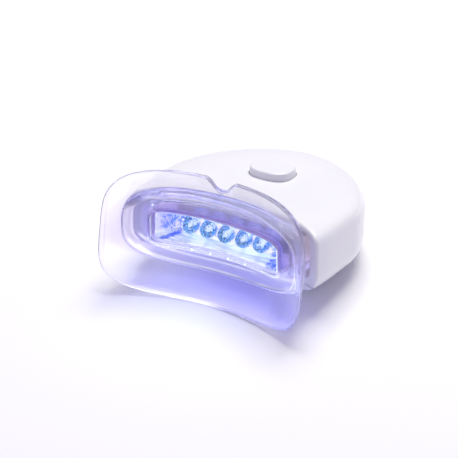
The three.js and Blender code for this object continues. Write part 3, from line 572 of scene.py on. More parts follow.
def clear_moulding(settings):
    """Clear soft plastic that light passes through. Painted shade turns it violet at its edge,
    along the rim and where painted lamp light falls into the lower lip, with painted dark lines
    along the lower edge and on the left of the rim, and a painted brown shadow lies on the right of
    the sleeve.
    Painted lamp light glows in the lip and the rim, painted highlights run in thin lines along the
    crest of the rim and the lower edge, and flow lines and a slight ripple move its highlights."""
    finish = Finish("clear_mouthpiece", IOR=1.36, Transmission_Weight=1.0, Emission_Strength=0.55,
                    Alpha=0.8)
    clear, sleeve_shadow_colour, lavender, left_crest_shade_colour = (
        (0.983, 0.981, 0.996), (0.72, 0.58, 0.58), (0.72, 0.66, 0.94), (0.56, 0.52, 0.82))
    dark_line_shade_colour, lip_edge_shade_colour, violet = (0.26, 0.21, 0.38), (0.97, 0.92, 1.0), (0.46, 0.40, 0.86)
    unlit, blue_light, white_light = (0.0, 0.0, 0.0), (0.21, 0.22, 0.50), (0.9, 0.92, 1.0)
    x, y, z = finish.place()
    ripple = finish.noise(0.12, detail=2.0)
    grain = finish.noise(0.9, detail=3.0)
    ring = outline_share(x, z, RIM_HALF_WIDTH, RIM_HALF_HEIGHT, RIM_SHARE)
    sheet = outline_share(x, z + FLANGE_DROP, FLANGE_HALF_WIDTH, FLANGE_HALF_HEIGHT, FLANGE_SHARE)

    # Painted shade on the rim, its sides and the outer edge of the flange, painted dark lines, and
    # a painted shadow on the sleeve behind the rim
    lower = z.above(-9.0, -12.5)
    far_left = x.above(-21.0, -27.0)
    sleeve = arch_depth(x, y, 1.0).above(6.0, 8.5) * x.above(20.0, 24.0)
    rim = ring.above(1.12, 0.98) * (1.0 - z.above(3.0, 8.0) * 0.85) * (1.0 - sleeve)
    side = ring.band(1.02, 1.13, 0.04) * (1.0 - lower * 0.4) * z.above(8.0, -3.0)
    left_foot_shade = ring.above(1.17, 1.10) * far_left
    left_crest_shade = ring.band(0.96, 1.06, 0.02) * far_left
    left_dark_line_shade = ring.band(1.03, 1.055, 0.01) * x.above(-20.0, -25.0) * z.above(-9.0, -6.0)
    edge = sheet.above(0.965, 0.99)
    dark_edge_shade = sheet.above(0.984, 0.996) * x.above(-4.0, 6.0) * z.above(-8.0, -14.0)
    # Painted shade in lavender on the rim, its sides, the flange's edge and the left crest, a
    # painted brown shadow on the right of the sleeve, and painted dark lines
    shade = rim * 0.25 + side * 0.36 + edge * 0.4 + left_foot_shade * 0.4
    colour = finish.mix(shade, finish.mix(sleeve, clear, sleeve_shadow_colour), lavender)
    colour = finish.mix(left_crest_shade * 0.6, colour, left_crest_shade_colour)
    colour = finish.mix(dark_edge_shade + left_dark_line_shade * 0.7, colour, dark_line_shade_colour)

    # The lower lip: painted shade and lamp light, violet under the rim and paler towards its edge
    lip = lower * (0.85 - z.above(-14.0, -19.0) * 0.3) * x.above(-31.0, 6.0)
    under_rim_shade = z.above(-16.8, -13.8) * x.above(-22.0, -4.0) * (1.0 - x.above(8.0, 20.0) * 0.6)
    lip_edge_fade = z.above(-15.0, -18.0) * x.above(-26.0, -18.0)
    lip_shade_and_light = finish.mix(lip_edge_fade, tuple(settings.lip_shade_tint), lip_edge_shade_colour)
    lip_shade_and_light = finish.mix(under_rim_shade, lip_shade_and_light, violet)
    colour = finish.mix(lip.above(0.0, 1.3), colour, lip_shade_and_light)

    # Painted lamp light glowing in the lip and the rim, and painted highlights in thin lines along
    # the crest and the lower edge
    haze = (x.above(-30.0, -16.0) * 0.3 + 0.7) * (0.85 + ripple * 0.3)
    fading = (1.0 - abs(x).above(27.0, 33.0) * 0.5) * (1.0 - left_crest_shade * 0.7) * (1.0 - dark_edge_shade)
    below = z.above(-5.0, -9.5) * (0.6 + z.above(-13.5, -16.5) * 0.4)
    below *= 1.0 - z.above(-17.5, -19.5) * 0.6
    glow = (below * 0.8 + rim * (0.45 + z.above(-2.0, -8.0) * 0.4)) * haze * fading
    inner_highlight_line = ring.band(0.952, 0.972, 0.012) * z.above(-5.0, -8.0)
    crest = (ring.band(0.972, 0.988, 0.01) + inner_highlight_line).above(0.0, 1.0)
    crest *= 0.35 + ripple.above(0.35, 0.6) * 0.65
    crest *= 1.0 - x.above(-20.0, -25.0) * z.above(-7.0, -3.0) * 0.8
    crest *= 1.0 + z.above(-2.0, -7.0) * x.above(5.0, -12.0) * 0.8
    brink_highlight = sheet.band(0.975, 0.992, 0.01) * z.above(-12.0, -16.0) * x.above(-30.0, -20.0)
    brink_highlight *= 1.0 - x.above(-3.0, 6.0) * 0.85
    lines = (crest + brink_highlight).above(0.0, 1.2)
    finish.set(Base_Color=colour, Roughness=0.02 + grain * 0.04,
               Emission_Color=finish.mix(lines, finish.mix(glow, unlit, blue_light), white_light))
    finish.bump(ripple * 0.7 + grain * 0.3, 0.05, 0.6)
    return finish.material


def clear_window():
    """The moulded window: clear, hard and very smooth, with a painted highlight of the lamps' light
    on its front edge, most of all at its sides and below."""
    finish = Finish("clear_window", IOR=1.3, Transmission_Weight=1.0,
                    Base_Color=(0.985, 0.99, 1.0), Emission_Strength=0.8)
    unlit, painted_edge_highlight = (0.0, 0.0, 0.0), (0.72, 0.80, 1.0)
    x, y, z = finish.place()
    wave = finish.noise(0.35, detail=1.0)
    half_width, half_height = lens_half_size()
    # Painted highlight along the front edge of the window, most of all at its sides and below
    sides = abs(x).above(half_width - 0.42, half_width - 0.22)
    brink_highlight = abs(z).above(half_height - 0.38, half_height - 0.18) * (1.0 - z.above(0.0, 3.0) * 0.8)
    front = arch_depth(x, y).above(NOSE_FRONT_Y + 0.35, NOSE_FRONT_Y + 0.15)
    edge = (1.0 - (1.0 - sides) * (1.0 - brink_highlight)) * front
    finish.set(Roughness=0.01 + wave * 0.02, Emission_Color=finish.mix(edge, unlit, painted_edge_highlight))
    finish.bump(wave, 0.02, 0.4)
    return finish.material


def satin_nose():
    """The nose: clear plastic darkened to a violet-brown at its front by painted shade, paler and
    cloudier with a faint painted glow towards its root. Painted lamp light makes its lower wall
    lavender, and painted glints shine on its front edge between the lamps."""
    finish = Finish("nose_plastic", IOR=1.4, Transmission_Weight=0.75, Emission_Strength=0.5)
    pale, front_shade_colour, lit = (0.86, 0.83, 0.94), (0.48, 0.42, 0.72), (0.95, 0.94, 1.0)
    pale_light, smoky_light = (0.50, 0.48, 0.60), (0.07, 0.05, 0.14)
    low_light, front_light, glint_light = (0.16, 0.17, 0.34), (0.52, 0.56, 0.92), (2.2, 2.4, 2.6)
    x, y, z = finish.place()
    cloud = finish.noise(0.3, detail=3.0)
    depth = arch_depth(x, y)
    root = (depth + cloud * 2.0).above(8.0, 11.5)
    front = depth.above(2.8, 2.4)
    lower = z.above(-2.0, -4.5) * depth.above(7.0, 5.0)
    sparkle_z = NOSE_WALL * 0.8 - NOSE_HALF_HEIGHT
    near = distance(x.from_row(LAMP_PITCH / 2), z - sparkle_z)
    glint_spot = near.above(0.46, 0.12) * front * abs(x).above(13.5, 12.5)
    # Painted glow: lamp light on the lower wall and the front, a faint glow at the root, and
    # painted glints on the front edge
    light = finish.mix(lower, finish.mix(root, smoky_light, pale_light),
                       finish.mix(front, low_light, front_light))
    # Painted shade darkens the front, and painted lamp light lightens the lower wall
    finish.set(Base_Color=finish.mix(lower, finish.mix(root, front_shade_colour, pale), lit),
               Roughness=0.05 + cloud * 0.12, Alpha=0.88 - front * lower * 0.2,
               Emission_Color=finish.mix(glint_spot, light, glint_light))
    finish.bump(cloud, 0.03, 0.4)
    return finish.material


def plated_trough():
    """Mirror plating on plastic: bright and slightly wavy, with painted lamp light in long pale
    streaks down its lower wall and a faint painted glow, painted blue reflections in patches, most
    at each end and under the lamps, a painted reflection of the first lamp and a painted lavender
    cast on its left wall, and a slanting line of blue painted shade along the corner below that."""
    finish = Finish("plated_trough", Emission_Strength=0.5)
    silver, lavender, blue = (0.90, 0.91, 1.0), (0.70, 0.70, 1.0), (0.10, 0.22, 0.90)
    upper_light, lower_light = (0.16, 0.13, 0.34), (0.36, 0.44, 0.50)
    blue_light, streak_light = (0.02, 0.10, 0.75), (1.25, 1.40, 1.35)
    # Where the painted reflection of the first lamp lies, and the corner line that takes painted
    # shade
    lamp_reflection_x, lamp_reflection_z = -14.9, 0.6
    seam_x, seam_z, seam_slope = -15.8, -2.97, 0.36
    x, _, z = finish.place()
    stretched = finish.node("ShaderNodeVectorMath", {"operation": "MULTIPLY"},
                            {0: finish.point, 1: (0.10, 1.2, 2.0)}).outputs[0]
    wave = finish.noise(0.5, detail=2.0, distortion=0.6)
    streak = finish.noise(0.75, detail=5.0, roughness=0.65, distortion=0.8, vector=stretched)
    patch = finish.noise(0.9, detail=5.0, roughness=0.6, distortion=1.2)
    lower = z.above(-1.0, -3.2)
    painted_lamp_reflection = distance(x - lamp_reflection_x, z - lamp_reflection_z).above(2.9, 2.2) * x.above(-12.8, -13.4)
    end_reflections = x.above(14.0, 16.0) + x.above(-13.0, -15.5) * x.above(-20.0, -18.0)
    end_reflections *= 0.95 - lower * x.above(12.0, 8.0) * 0.6
    off_seam = abs(z - seam_z - (x - seam_x) * seam_slope)
    corner_shade = off_seam.above(0.75, 0.2) * x.above(-14.0, -15.5)
    under = abs(x.from_row(0.0) - wave + 0.5).above(1.2, 0.3) * lower * abs(x).above(15.0, 13.0)
    # Painted blue reflections in patches, at each end, of the first lamp and under the lamps, and
    # painted shade along the corner
    tint = ((1.0 - lower) * 0.35 + end_reflections) * patch.above(0.37, 0.66) * (1.0 - painted_lamp_reflection * 0.5)
    tint += painted_lamp_reflection * patch.above(0.42, 0.56) * 0.75 + corner_shade * (0.35 + patch)
    tint = (tint + x.above(14.5, 17.0) * patch * 0.9).above(0.0, 1.0)
    tint += under * streak.above(0.40, 0.55) * 0.30
    # Painted lamp light: pale streaks down the lower wall and a faint glow, blue where the
    # reflections are painted
    glow = (streak.above(0.44, 0.56) * 0.8 + 0.2) * lower * (1.0 - tint * 0.8)
    # A painted lavender reflection on the left of the plating
    plating = finish.mix(x.above(-14.0, -16.5), silver, lavender)
    light = finish.mix(tint, finish.mix(lower, upper_light, lower_light), blue_light)
    finish.set(Base_Color=finish.mix(tint, plating, blue), Metallic=1.0 - lower * 0.6,
               Roughness=0.12 + wave * 0.12 + lower * 0.25,
               Emission_Color=finish.mix(glow, light, streak_light))
    finish.bump(wave + streak * lower, 0.12, 0.6)
    return finish.material


def lit_lamp(settings):
    """A lit lamp dome: blue with azure and hazy patches, dark facets where the cup is seen
    through the dome, and a pale hot core off its middle."""
    finish = Finish("lit_lamp", IOR=1.5, Coat_Weight=0.6, Coat_Roughness=0.05,
                    Emission_Strength=settings.lamp_glow)
    colour = tuple(settings.lamp_colour)
    deep = scaled_colour(colour, (0.35, 0.35, 0.35))
    azure, hazy = (0.16, 0.62, 1.0), (0.36, 0.62, 1.0)
    core_colour, core_light = (0.5, 0.8, 1.0), (1.15, 1.30, 1.35)
    core_x, core_z = 1.2, 1.3
    x, _, z = finish.place()
    cells = finish.node("ShaderNodeTexVoronoi", {"feature": "F1"},
                        {"Vector": finish.point, "Scale": 1.9, "Randomness": 1.0})
    facet = Wire(finish, cells.outputs["Distance"])
    speck = finish.noise(2.4, detail=3.0, distortion=1.2)
    haze = finish.noise(1.1, detail=2.0, distortion=2.0)
    spread = distance(x.from_row(0.0) - core_x, z - core_z).above(1.5, 0.2)
    core = (spread + (haze - 0.5) * 1.8 + (speck - 0.5) * 3.6).above(0.42, 0.80)
    shell = finish.mix((facet + speck * 0.5).above(0.62, 0.90),
                       finish.mix(speck.above(0.44, 0.56), colour, azure), deep)
    shell = finish.mix(haze.above(0.54, 0.64) * 0.3, shell, hazy)
    finish.set(Base_Color=finish.mix(core, shell, core_colour), Roughness=0.06 + speck * 0.08,
               Emission_Color=finish.mix(core, shell, core_light))
    finish.bump(facet, 0.15, 0.5)
    return finish.material


def board_finish():
    """Solder mask: green, with paler slanting tracks that stand up under it."""
    finish = Finish("solder_mask")
    mask, track = (0.018, 0.11, 0.045), (0.035, 0.2, 0.08)
    finish.place()
    weave = finish.node("ShaderNodeTexWave", {"wave_type": "BANDS", "bands_direction": "DIAGONAL"},
                        {"Vector": finish.point, "Scale": 1.4, "Distortion": 2.0, "Detail": 2.0})
    tracks = Wire(finish, weave.outputs["Fac"])
    grain = finish.noise(3.0)
    finish.set(Base_Color=finish.mix(tracks.above(0.55, 0.75), mask, track),
               Roughness=0.35 + grain * 0.15)
    finish.bump(tracks, 0.03, 0.5)
    return finish.material


def metal_finish(name, colour, rough):
    """Plated metal with fine brushing and faint handling marks."""
    finish = Finish(name, Metallic=1.0)
    finish.place()
    brushing = finish.noise(4.0, detail=5.0, roughness=0.7)
    marks = finish.noise(0.4, detail=2.0)
    darker = scaled_colour(colour, (0.8, 0.8, 0.8))
    finish.set(Base_Color=finish.mix(marks.above(0.4, 0.7), colour, darker),
               Roughness=rough + brushing * 0.15)
    finish.bump(brushing, 0.01, 0.5)
    return finish.material


def matte_finish(name, colour):
    """Moulded epoxy or soft insulation: fine grain and a little colour variation."""
    finish = Finish(name)
    finish.place()
    grain = finish.noise(5.0, detail=4.0)
    cloud = finish.noise(0.6)
    lighter = tuple(min(1.0, part * 1.3 + 0.01) for part in colour)
    finish.set(Base_Color=finish.mix(cloud.above(0.4, 0.65), colour, lighter),
               Roughness=0.35 + grain * 0.2)
    finish.bump(grain, 0.015, 0.5)
    return finish.material


# Shapes, as grids of rows and columns in lamp millimetres


def body_radius(turn, place_y, halvings=46):
    """How far the pebble's outside lies from its long axis in each direction, at a y that
    depends on x: found by halving, because the pebble's formula can't be solved outright. The
    pebble is an oval plan whose size falls with height as a power curve."""
    low = np.zeros_like(turn)
    high = np.full_like(turn, BODY_HALF_WIDTH * 1.5)
    top = np.sin(turn) > 0
    height = np.where(top, BODY_TOP, BODY_BOTTOM)
    share = np.where(top, BODY_TOP_SHARE, BODY_BOTTOM_SHARE)
    for _ in range(halvings):
        middle = (low + high) / 2
        x, z = middle * np.cos(turn), middle * np.sin(turn)
        y = place_y(x)
        behind = y >= BODY_WIDEST_Y
        length = np.where(behind, BODY_REAR_LENGTH, BODY_FRONT_LENGTH)
        plan_share = np.where(behind, BODY_REAR_SHARE, BODY_FRONT_SHARE)
        rise = np.minimum(np.abs(z) / height, 1.0)
        spread = np.maximum(1 - rise ** (2 / share), 0) ** (share / 2)
        plan = ((np.abs(x) / BODY_HALF_WIDTH) ** (2 / plan_share)
                + (np.abs(y - BODY_WIDEST_Y) / length) ** (2 / plan_share)) ** (plan_share / 2)
        outside = (plan > spread) | (np.abs(z) >= height)
        high = np.where(outside, middle, high)
        low = np.where(outside, low, middle)
    return (low + high) / 2


def body_grid(columns=420, walk_share=0.5):
    """Rows of the closed body shell, each a loop round the long axis: from the rear tip over
    the outside to the front edge, round it, across the arched front face, round the lip of
    the socket, back along the socket, over the bulkhead, through its passage, and back
    inside the wall to the rear tip."""
    half_height = (BODY_TOP + BODY_BOTTOM) / 2
    walk = even_angles(BODY_HALF_WIDTH, half_height, walk_share, columns)
    turn = np.arctan2(half_height * rounded(np.sin(walk), walk_share),
                      BODY_HALF_WIDTH * rounded(np.cos(walk), walk_share))
    rear = BODY_WIDEST_Y + BODY_REAR_LENGTH

    def front_face(x):
        return FRONT_FACE_Y - arch_sag(x)

    def from_axis(radius):
        return radius * np.cos(turn), radius * np.sin(turn)

    def shell_row(step, inset=0.0):
        def place(x):
            return rear - inset - step * (rear - inset - (front_face(x) + BODY_EDGE))
        x, z = from_axis(np.maximum(body_radius(turn, place) - inset, POLE))
        return x, place(x), z

    rows = [shell_row(step) for step in 1 - np.cos(np.linspace(0.03, 1, 70) * math.pi / 2)]
    x, _, z = rows[-1]
    out_x, out_z = outline_normals(x, z)
    for drawn, short in quarter_round(BODY_EDGE, 9)[1:]:
        edge_x = x - out_x * drawn
        rows.append((edge_x, front_face(edge_x) + short, z - out_z * drawn))
    edge_x, _, edge_z = rows[-1]
    x, z = from_axis(polar_radius(
        turn, SOCKET_HALF_WIDTH, SLEEVE_HALF_HEIGHT + CLEARANCE, NOSE_SHARE))
    out_x, out_z = outline_normals(x, z)
    for share in (0.33, 0.66, 1.0):
        face_x = between(edge_x, x + out_x * SOCKET_LIP, share)
        rows.append((face_x, front_face(face_x), between(edge_z, z + out_z * SOCKET_LIP, share)))
    for back, out in quarter_round(SOCKET_LIP, 6)[1:]:
        lip_x = x + out_x * out
        rows.append((lip_x, front_face(lip_x) + back, z + out_z * out))
    socket_back = SLEEVE_Y + CLEARANCE
    start = rows[-1][1]
    for share in (0.35, 0.7, 1.0):
        rows.append((x, between(start, socket_back, share), z))
    x, z = from_axis(polar_radius(
        turn, NOSE_HALF_WIDTH + CLEARANCE, NOSE_HALF_HEIGHT + CLEARANCE, NOSE_SHARE))
    bulkhead_back = socket_back + BULKHEAD_WALL
    rows += [(x, np.full_like(x, y), z) for y in (socket_back, bulkhead_back)]
    for step in np.linspace(0.62, 0.0, 14):
        x, y, z = shell_row(step, BODY_WALL)
        rows.append((x, np.maximum(y, bulkhead_back), z))
    return np.stack([np.stack(row, -1) for row in rows])


def mouthpiece_rows():
    """The stations of the mouthpiece's skin, in order: the bore, the basin, the crest of the
    rim as a half round, its outer foot, the flange's front, its edge as a half round, the
    flange's back, the cone and the sleeve with its chamfer. Each station is a rounded
    rectangle: half width, half height, y, how far it follows the arch, share, and how much
    of the flange's lean, notch and drop it takes."""
    bore = np.array((NOSE_HALF_WIDTH + CLEARANCE, NOSE_HALF_HEIGHT + CLEARANCE))
    rim = np.array((RIM_HALF_WIDTH, RIM_HALF_HEIGHT))
    flange = np.array((FLANGE_HALF_WIDTH, FLANGE_HALF_HEIGHT))
    sleeve = np.array((SLEEVE_HALF_WIDTH, SLEEVE_HALF_HEIGHT))
    inner, foot, root = rim - RIM_CREST_HALF_WALL, rim + RIM_CREST_HALF_WALL, rim + RIM_FLARE
    basin_y = RIM_CREST_Y + BASIN_DEPTH
    crest_y = RIM_CREST_Y + RIM_CREST_HALF_WALL
    root_y = RIM_CREST_Y + RIM_HEIGHT
    rows = []

    def add(size, share, y, arch=1.0, spread=0.0):
        rows.append((*size, y, arch, share, spread))

    def add_flange(t, behind, inset):
        dish = FLANGE_DISH * (1 - t) ** FLANGE_DISH_SHARE
        add(between(root, flange, t) - inset, between(RIM_SHARE, FLANGE_SHARE, t), dish + behind,
            1.0, t)

    for t in np.linspace(0, 1, 5):
        add(bore, NOSE_SHARE, between(SLEEVE_Y, basin_y + SLEEVE_CHAMFER, t), t)
    for t in np.linspace(0.06, 1, 12):
        add(between(bore, inner, t), between(NOSE_SHARE, RIM_SHARE, t),
            between(basin_y, crest_y, t) + BASIN_BOW * math.sin(math.pi * t))
    for bend in np.linspace(0, math.pi, 10)[1:]:
        add(rim - RIM_CREST_HALF_WALL * math.cos(bend), RIM_SHARE,
            crest_y - RIM_CREST_HALF_WALL * math.sin(bend))
    for t in np.linspace(0, 1, 7)[1:-1]:
        add(between(foot, root, t**1.6), RIM_SHARE, between(crest_y, root_y, t**0.8))
    steps = np.linspace(0, 1, 15)
    half_wall = FLANGE_WALL / 2
    for t in steps:
        add_flange(t * 0.999, 0.0, half_wall * t**6)
    for bend in np.linspace(0, math.pi, 11)[1:-1]:
        add_flange(1.0, half_wall * (1 - math.cos(bend)), half_wall * (1 - math.sin(bend)))
    for t in steps[::-1]:
        add_flange(t * 0.999, FLANGE_WALL, half_wall * t**6)
    for t in np.linspace(0, 1, 6)[1:-1]:
        add(between(root, sleeve, t**0.9), between(RIM_SHARE, NOSE_SHARE, t),
            between(FLANGE_DISH, basin_y + FLANGE_WALL, t) + FLANGE_WALL)
    for t in np.linspace(0, 1, 6):
        add(sleeve, NOSE_SHARE,
            between(basin_y + 2 * FLANGE_WALL, SLEEVE_Y - SLEEVE_CHAMFER, t), 1 - t)
    add(sleeve - SLEEVE_CHAMFER, NOSE_SHARE, SLEEVE_Y, 0.0)
    return np.array(rows)


def mouthpiece_grid(columns=520):
    """Each station's rounded rectangle, bent round the arch: x and z follow the signed
    powers of cosine and sine, y falls with the arch's sag and leans with height, and the
    notch is a raised cosine cut in the upper edge that fades towards the root."""
    angle = even_angles(FLANGE_HALF_WIDTH, FLANGE_HALF_HEIGHT, FLANGE_SHARE, columns)
    stations = mouthpiece_rows()
    spread = stations[:, 5:]
    x, y, z = np.moveaxis(arched_loops(stations[:, :4], angle, stations[:, 4:5]), -1, 0)
    in_notch = (np.abs(x) < NOTCH_HALF_WIDTH) & (z > 0)
    notch = np.where(in_notch, NOTCH_DEPTH * np.cos(math.pi * x / (2 * NOTCH_HALF_WIDTH)) ** 2, 0)
    drop = notch * spread**2 + FLANGE_DROP * spread
    return np.stack([x, y + FLANGE_LEAN_SHARE * z * spread, z - drop], -1)


def nose_grid():
    """The nose as a closed tube: its outside from the plate to the arched front, a rounded
    front edge, a step down to the seat of the window, and its bore back to the plate."""
    w, h = NOSE_HALF_WIDTH, NOSE_HALF_HEIGHT
    bore_w, bore_h = w - NOSE_WALL, h - NOSE_WALL
    ledge_w, ledge_h = bore_w - NOSE_LEDGE, bore_h - NOSE_LEDGE
    seat = NOSE_FRONT_Y + LENS_WALL + CLEARANCE
    ledge_back = seat + NOSE_LEDGE_WALL
    rows = [(w, h, NOSE_PLATE_Y, 0.0), (w, h, NOSE_REAR_Y, 0.4), (w, h, NOSE_MIDDLE_Y, 0.8),
            (w, h, NOSE_FRONT_Y + LENS_WALL, 1.0)]
    rows += [(w - drawn, h - drawn, NOSE_FRONT_Y + short, 1.0)
             for drawn, short in quarter_round(NOSE_EDGE, 6)]
    rows += [(bore_w + out, bore_h + out, NOSE_FRONT_Y + back, 1.0)
             for back, out in quarter_round(NOSE_EDGE * 0.7, 5)]
    rows += [(bore_w, bore_h, seat, 1.0), (ledge_w, ledge_h, seat, 1.0),
             (ledge_w, ledge_h, ledge_back, 1.0), (bore_w, bore_h, ledge_back, 1.0),
             (bore_w, bore_h, NOSE_REAR_Y, 0.3), (bore_w, bore_h, NOSE_PLATE_Y, 0.0)]
    return arched_loops(rows, even_angles(w, h, NOSE_SHARE, 320))


def lens_half_size():
    """Half the window's width and height."""
    return NOSE_HALF_WIDTH - NOSE_WALL - LENS_PLAY, NOSE_HALF_HEIGHT - NOSE_WALL - LENS_PLAY


def lens_grid():
    """The window: a thin arched pane with two faces alike, each flat up to an edge that is a
    quarter round."""
    w, h = lens_half_size()
    back_y = NOSE_FRONT_Y + LENS_WALL
    face = [((w - LENS_EDGE) * share, (h - LENS_EDGE) * share, 0.0)
            for share in (POLE, 0.3, 0.55, 0.75, 0.9)]
    face += [(w - drawn, h - drawn, inward) for inward, drawn in quarter_round(LENS_EDGE, 5)]
    rows = [(wide, high, NOSE_FRONT_Y + inward, 1.0) for wide, high, inward in face]
    rows += [(wide, high, back_y - inward, 1.0) for wide, high, inward in face[::-1]]
    return arched_loops(rows, even_angles(w, h, NOSE_SHARE, 260))


def trough_grid():
    """The reflector: a rolled rim on the arch, walls that sweep in with a slight curve to a
    flat back, and the same path outside at one wall. The arch fades towards the back as a
    smooth step."""
    mouth_w = NOSE_HALF_WIDTH - NOSE_WALL - CLEARANCE - TROUGH_WALL
    mouth_h = NOSE_HALF_HEIGHT - NOSE_WALL - CLEARANCE - TROUGH_WALL
    back_w = LAMP_COUNT // 2 * LAMP_PITCH + LAMP_RADIUS + TROUGH_END_MARGIN
    back_h = LAMP_RADIUS + CLEARANCE + TROUGH_TOP_MARGIN

    def wall_row(t, wall):
        return (between(mouth_w, back_w, t) + wall, between(mouth_h, back_h, t) + wall,
                between(TROUGH_FRONT_Y, TROUGH_BACK_Y + wall, t), 1 - t * t * (3 - 2 * t))

    def back_row(share, y):
        return back_w * share, back_h * share, y, 0.0

    rows = [back_row(share, TROUGH_BACK_Y + TROUGH_WALL) for share in (POLE, 0.5)]
    rows += [wall_row(t, TROUGH_WALL) for t in np.linspace(1, 0, 10)]
    rows += [(mouth_w + TROUGH_ROLL, mouth_h + TROUGH_ROLL, TROUGH_FRONT_Y - TROUGH_ROLL_DEPTH,
              1.0)]
    rows += [wall_row(t, 0.0) for t in np.linspace(0, 1, 10)]
    rows += [back_row(share, TROUGH_BACK_Y) for share in (0.7, 0.4, POLE)]
    return arched_loops(rows, even_angles(mouth_w, mouth_h, NOSE_SHARE, 260))


def lamp_middle(number):
    """The x of a lamp's axis, counted from 0 at the left."""
    return (number - LAMP_COUNT // 2) * LAMP_PITCH


def lamp_grid(centre_x):
    """A round lamp about its own axis: the dome as a half round, the barrel, the collar with
    eased edges and a flat base."""
    base_y = LAMP_TIP_Y + LAMP_LENGTH
    collar_y = base_y - COLLAR_HEIGHT
    path = [(LAMP_RADIUS * math.sin(bend), LAMP_TIP_Y + LAMP_RADIUS * (1 - math.cos(bend)))
            for bend in np.linspace(POLE, math.pi / 2, 22)]
    path += [(LAMP_RADIUS, collar_y - COLLAR_EDGE * 3),
             (LAMP_RADIUS + COLLAR_EDGE, collar_y - COLLAR_EDGE * 0.4),
             (COLLAR_RADIUS - COLLAR_EDGE, collar_y),
             (COLLAR_RADIUS, collar_y + COLLAR_EDGE * 1.6),
             (COLLAR_RADIUS, base_y - COLLAR_EDGE * 1.2),
             (COLLAR_RADIUS - COLLAR_EDGE, base_y), (BASE_MIDDLE_RADIUS, base_y)]
    radius, y = (column[:, None] for column in np.array(path).T)
    turn = np.linspace(0, 2 * math.pi, 65)[None, :-1]
    return np.stack([centre_x + radius * np.cos(turn), y + 0 * turn, radius * np.sin(turn)], -1)


def lamp_hole(centre_x):
    """A round tool along Y for the hole that a lamp passes through in the trough's back: an
    upright prism laid down."""
    radius = LAMP_RADIUS + CLEARANCE
    turn = np.linspace(0, 2 * math.pi, 49)[:-1]
    upright = upright_prism(centre_x + radius * np.cos(turn), radius * np.sin(turn), *LAMP_HOLE_Y)
    return upright[..., [0, 2, 1]]


def dome_height(y):
    """The level of the pebble's top on its middle line, behind its widest place: the height
    falls as a power curve of the share of the rear length that has been passed."""
    share = abs(y - BODY_WIDEST_Y) / BODY_REAR_LENGTH
    return BODY_TOP * (1 - share ** (2 / BODY_TOP_SHARE)) ** (BODY_TOP_SHARE / 2)


def button_outline(count):
    """The button's plan at unit size: an oval, a little squared, in even steps, from the
    signed powers of cosine and sine."""
    turn = even_angles(BUTTON_HALF_WIDTH, BUTTON_HALF_LENGTH, BUTTON_SHARE, count)
    return rounded(np.cos(turn), BUTTON_SHARE), rounded(np.sin(turn), BUTTON_SHARE)


def button_grid():
    """The button: an oval cap with a quarter round as its upper edge and a very slight dish,
    its wall, the flange that keeps it in and the stem that presses the switch."""
    top = dome_height(BUTTON_Y) + BUTTON_RISE
    flange_top = (dome_height(BUTTON_Y + BUTTON_HALF_LENGTH + BUTTON_FLANGE)
                  - BODY_WALL - CLEARANCE)
    flange_low = flange_top - BUTTON_FLANGE_WALL

    def oval_row(grow, level):
        return BUTTON_HALF_WIDTH + grow, BUTTON_HALF_LENGTH + grow, level

    rows = [(POLE, POLE, top - BUTTON_DISH)]
    rows += [((BUTTON_HALF_WIDTH - BUTTON_EDGE) * share,
              (BUTTON_HALF_LENGTH - BUTTON_EDGE) * share, top - BUTTON_DISH * (1 - share * share))
             for share in (0.25, 0.5, 0.75, 0.9)]
    rows += [oval_row(-drawn, top - fall) for fall, drawn in quarter_round(BUTTON_EDGE, 9)]
    rows += [oval_row(0.0, flange_top + BUTTON_FILLET), oval_row(BUTTON_FILLET, flange_top),
             oval_row(BUTTON_FLANGE, flange_top), oval_row(BUTTON_FLANGE, flange_low),
             (BUTTON_STEM_RADIUS, BUTTON_STEM_RADIUS, flange_low),
             (BUTTON_STEM_RADIUS, BUTTON_STEM_RADIUS, BUTTON_STEM_Z), (POLE, POLE, BUTTON_STEM_Z)]
    width, length, level = (column[:, None] for column in np.array(rows).T)
    x, y = button_outline(160)
    return np.stack([width * x, BUTTON_Y + length * y, level + 0 * x], -1)


# Stage


def add_light(name, place, size, power, colour, aim=(0.0, 0.0, 0.0)):
    """A square area light at a place in metres, aimed at a point."""
    light = bpy.data.lights.new(name, "AREA")
    light.size = size
    light.energy = power
    light.color = colour
    holder = new_object(name, light)
    holder.location = place
    holder.rotation_euler = (Vector(aim) - Vector(place)).to_track_quat("-Z", "Y").to_euler()
    return holder


def add_camera():
    """The camera that was fitted to the photograph: its place and angles are in the lamp's
    own level frame, so they are turned and moved with the lamp."""
    turn, fall, roll = (math.radians(angle) for angle in (CAMERA_TURN, CAMERA_FALL, CAMERA_ROLL))
    ahead = Vector((-math.sin(turn) * math.cos(fall), math.cos(turn) * math.cos(fall),
                    -math.sin(fall)))
    level = Vector((math.cos(turn), math.sin(turn), 0))
    over = level.cross(ahead)
    right = math.cos(roll) * level + math.sin(roll) * over
    up = -math.sin(roll) * level + math.cos(roll) * over
    basis = Matrix((TURN @ right, TURN @ up, TURN @ -ahead)).transposed()
    data = bpy.data.cameras.new("camera")
    data.sensor_width = CAMERA_SENSOR
    data.lens = CAMERA_LENS
    data.clip_start = 0.01
    holder = new_object("camera", data)
    holder.matrix_world = Matrix.Translation(at_rest(CAMERA_PLACE)) @ basis.to_4x4()
    bpy.context.scene.camera = holder


def add_floor(half=3.0):
    """A square of pale paper that the lamp rests on."""
    mesh = bpy.data.meshes.new("floor")
    mesh.from_pydata([(-half, -half, 0), (half, -half, 0), (half, half, 0), (-half, half, 0)], [],
                     [(0, 1, 2, 3)])
    paper = Finish("paper_floor", Base_Color=(0.93, 0.93, 0.95), Roughness=0.9)
    mesh.materials.append(paper.material)
    new_object("floor", mesh)


# Operators


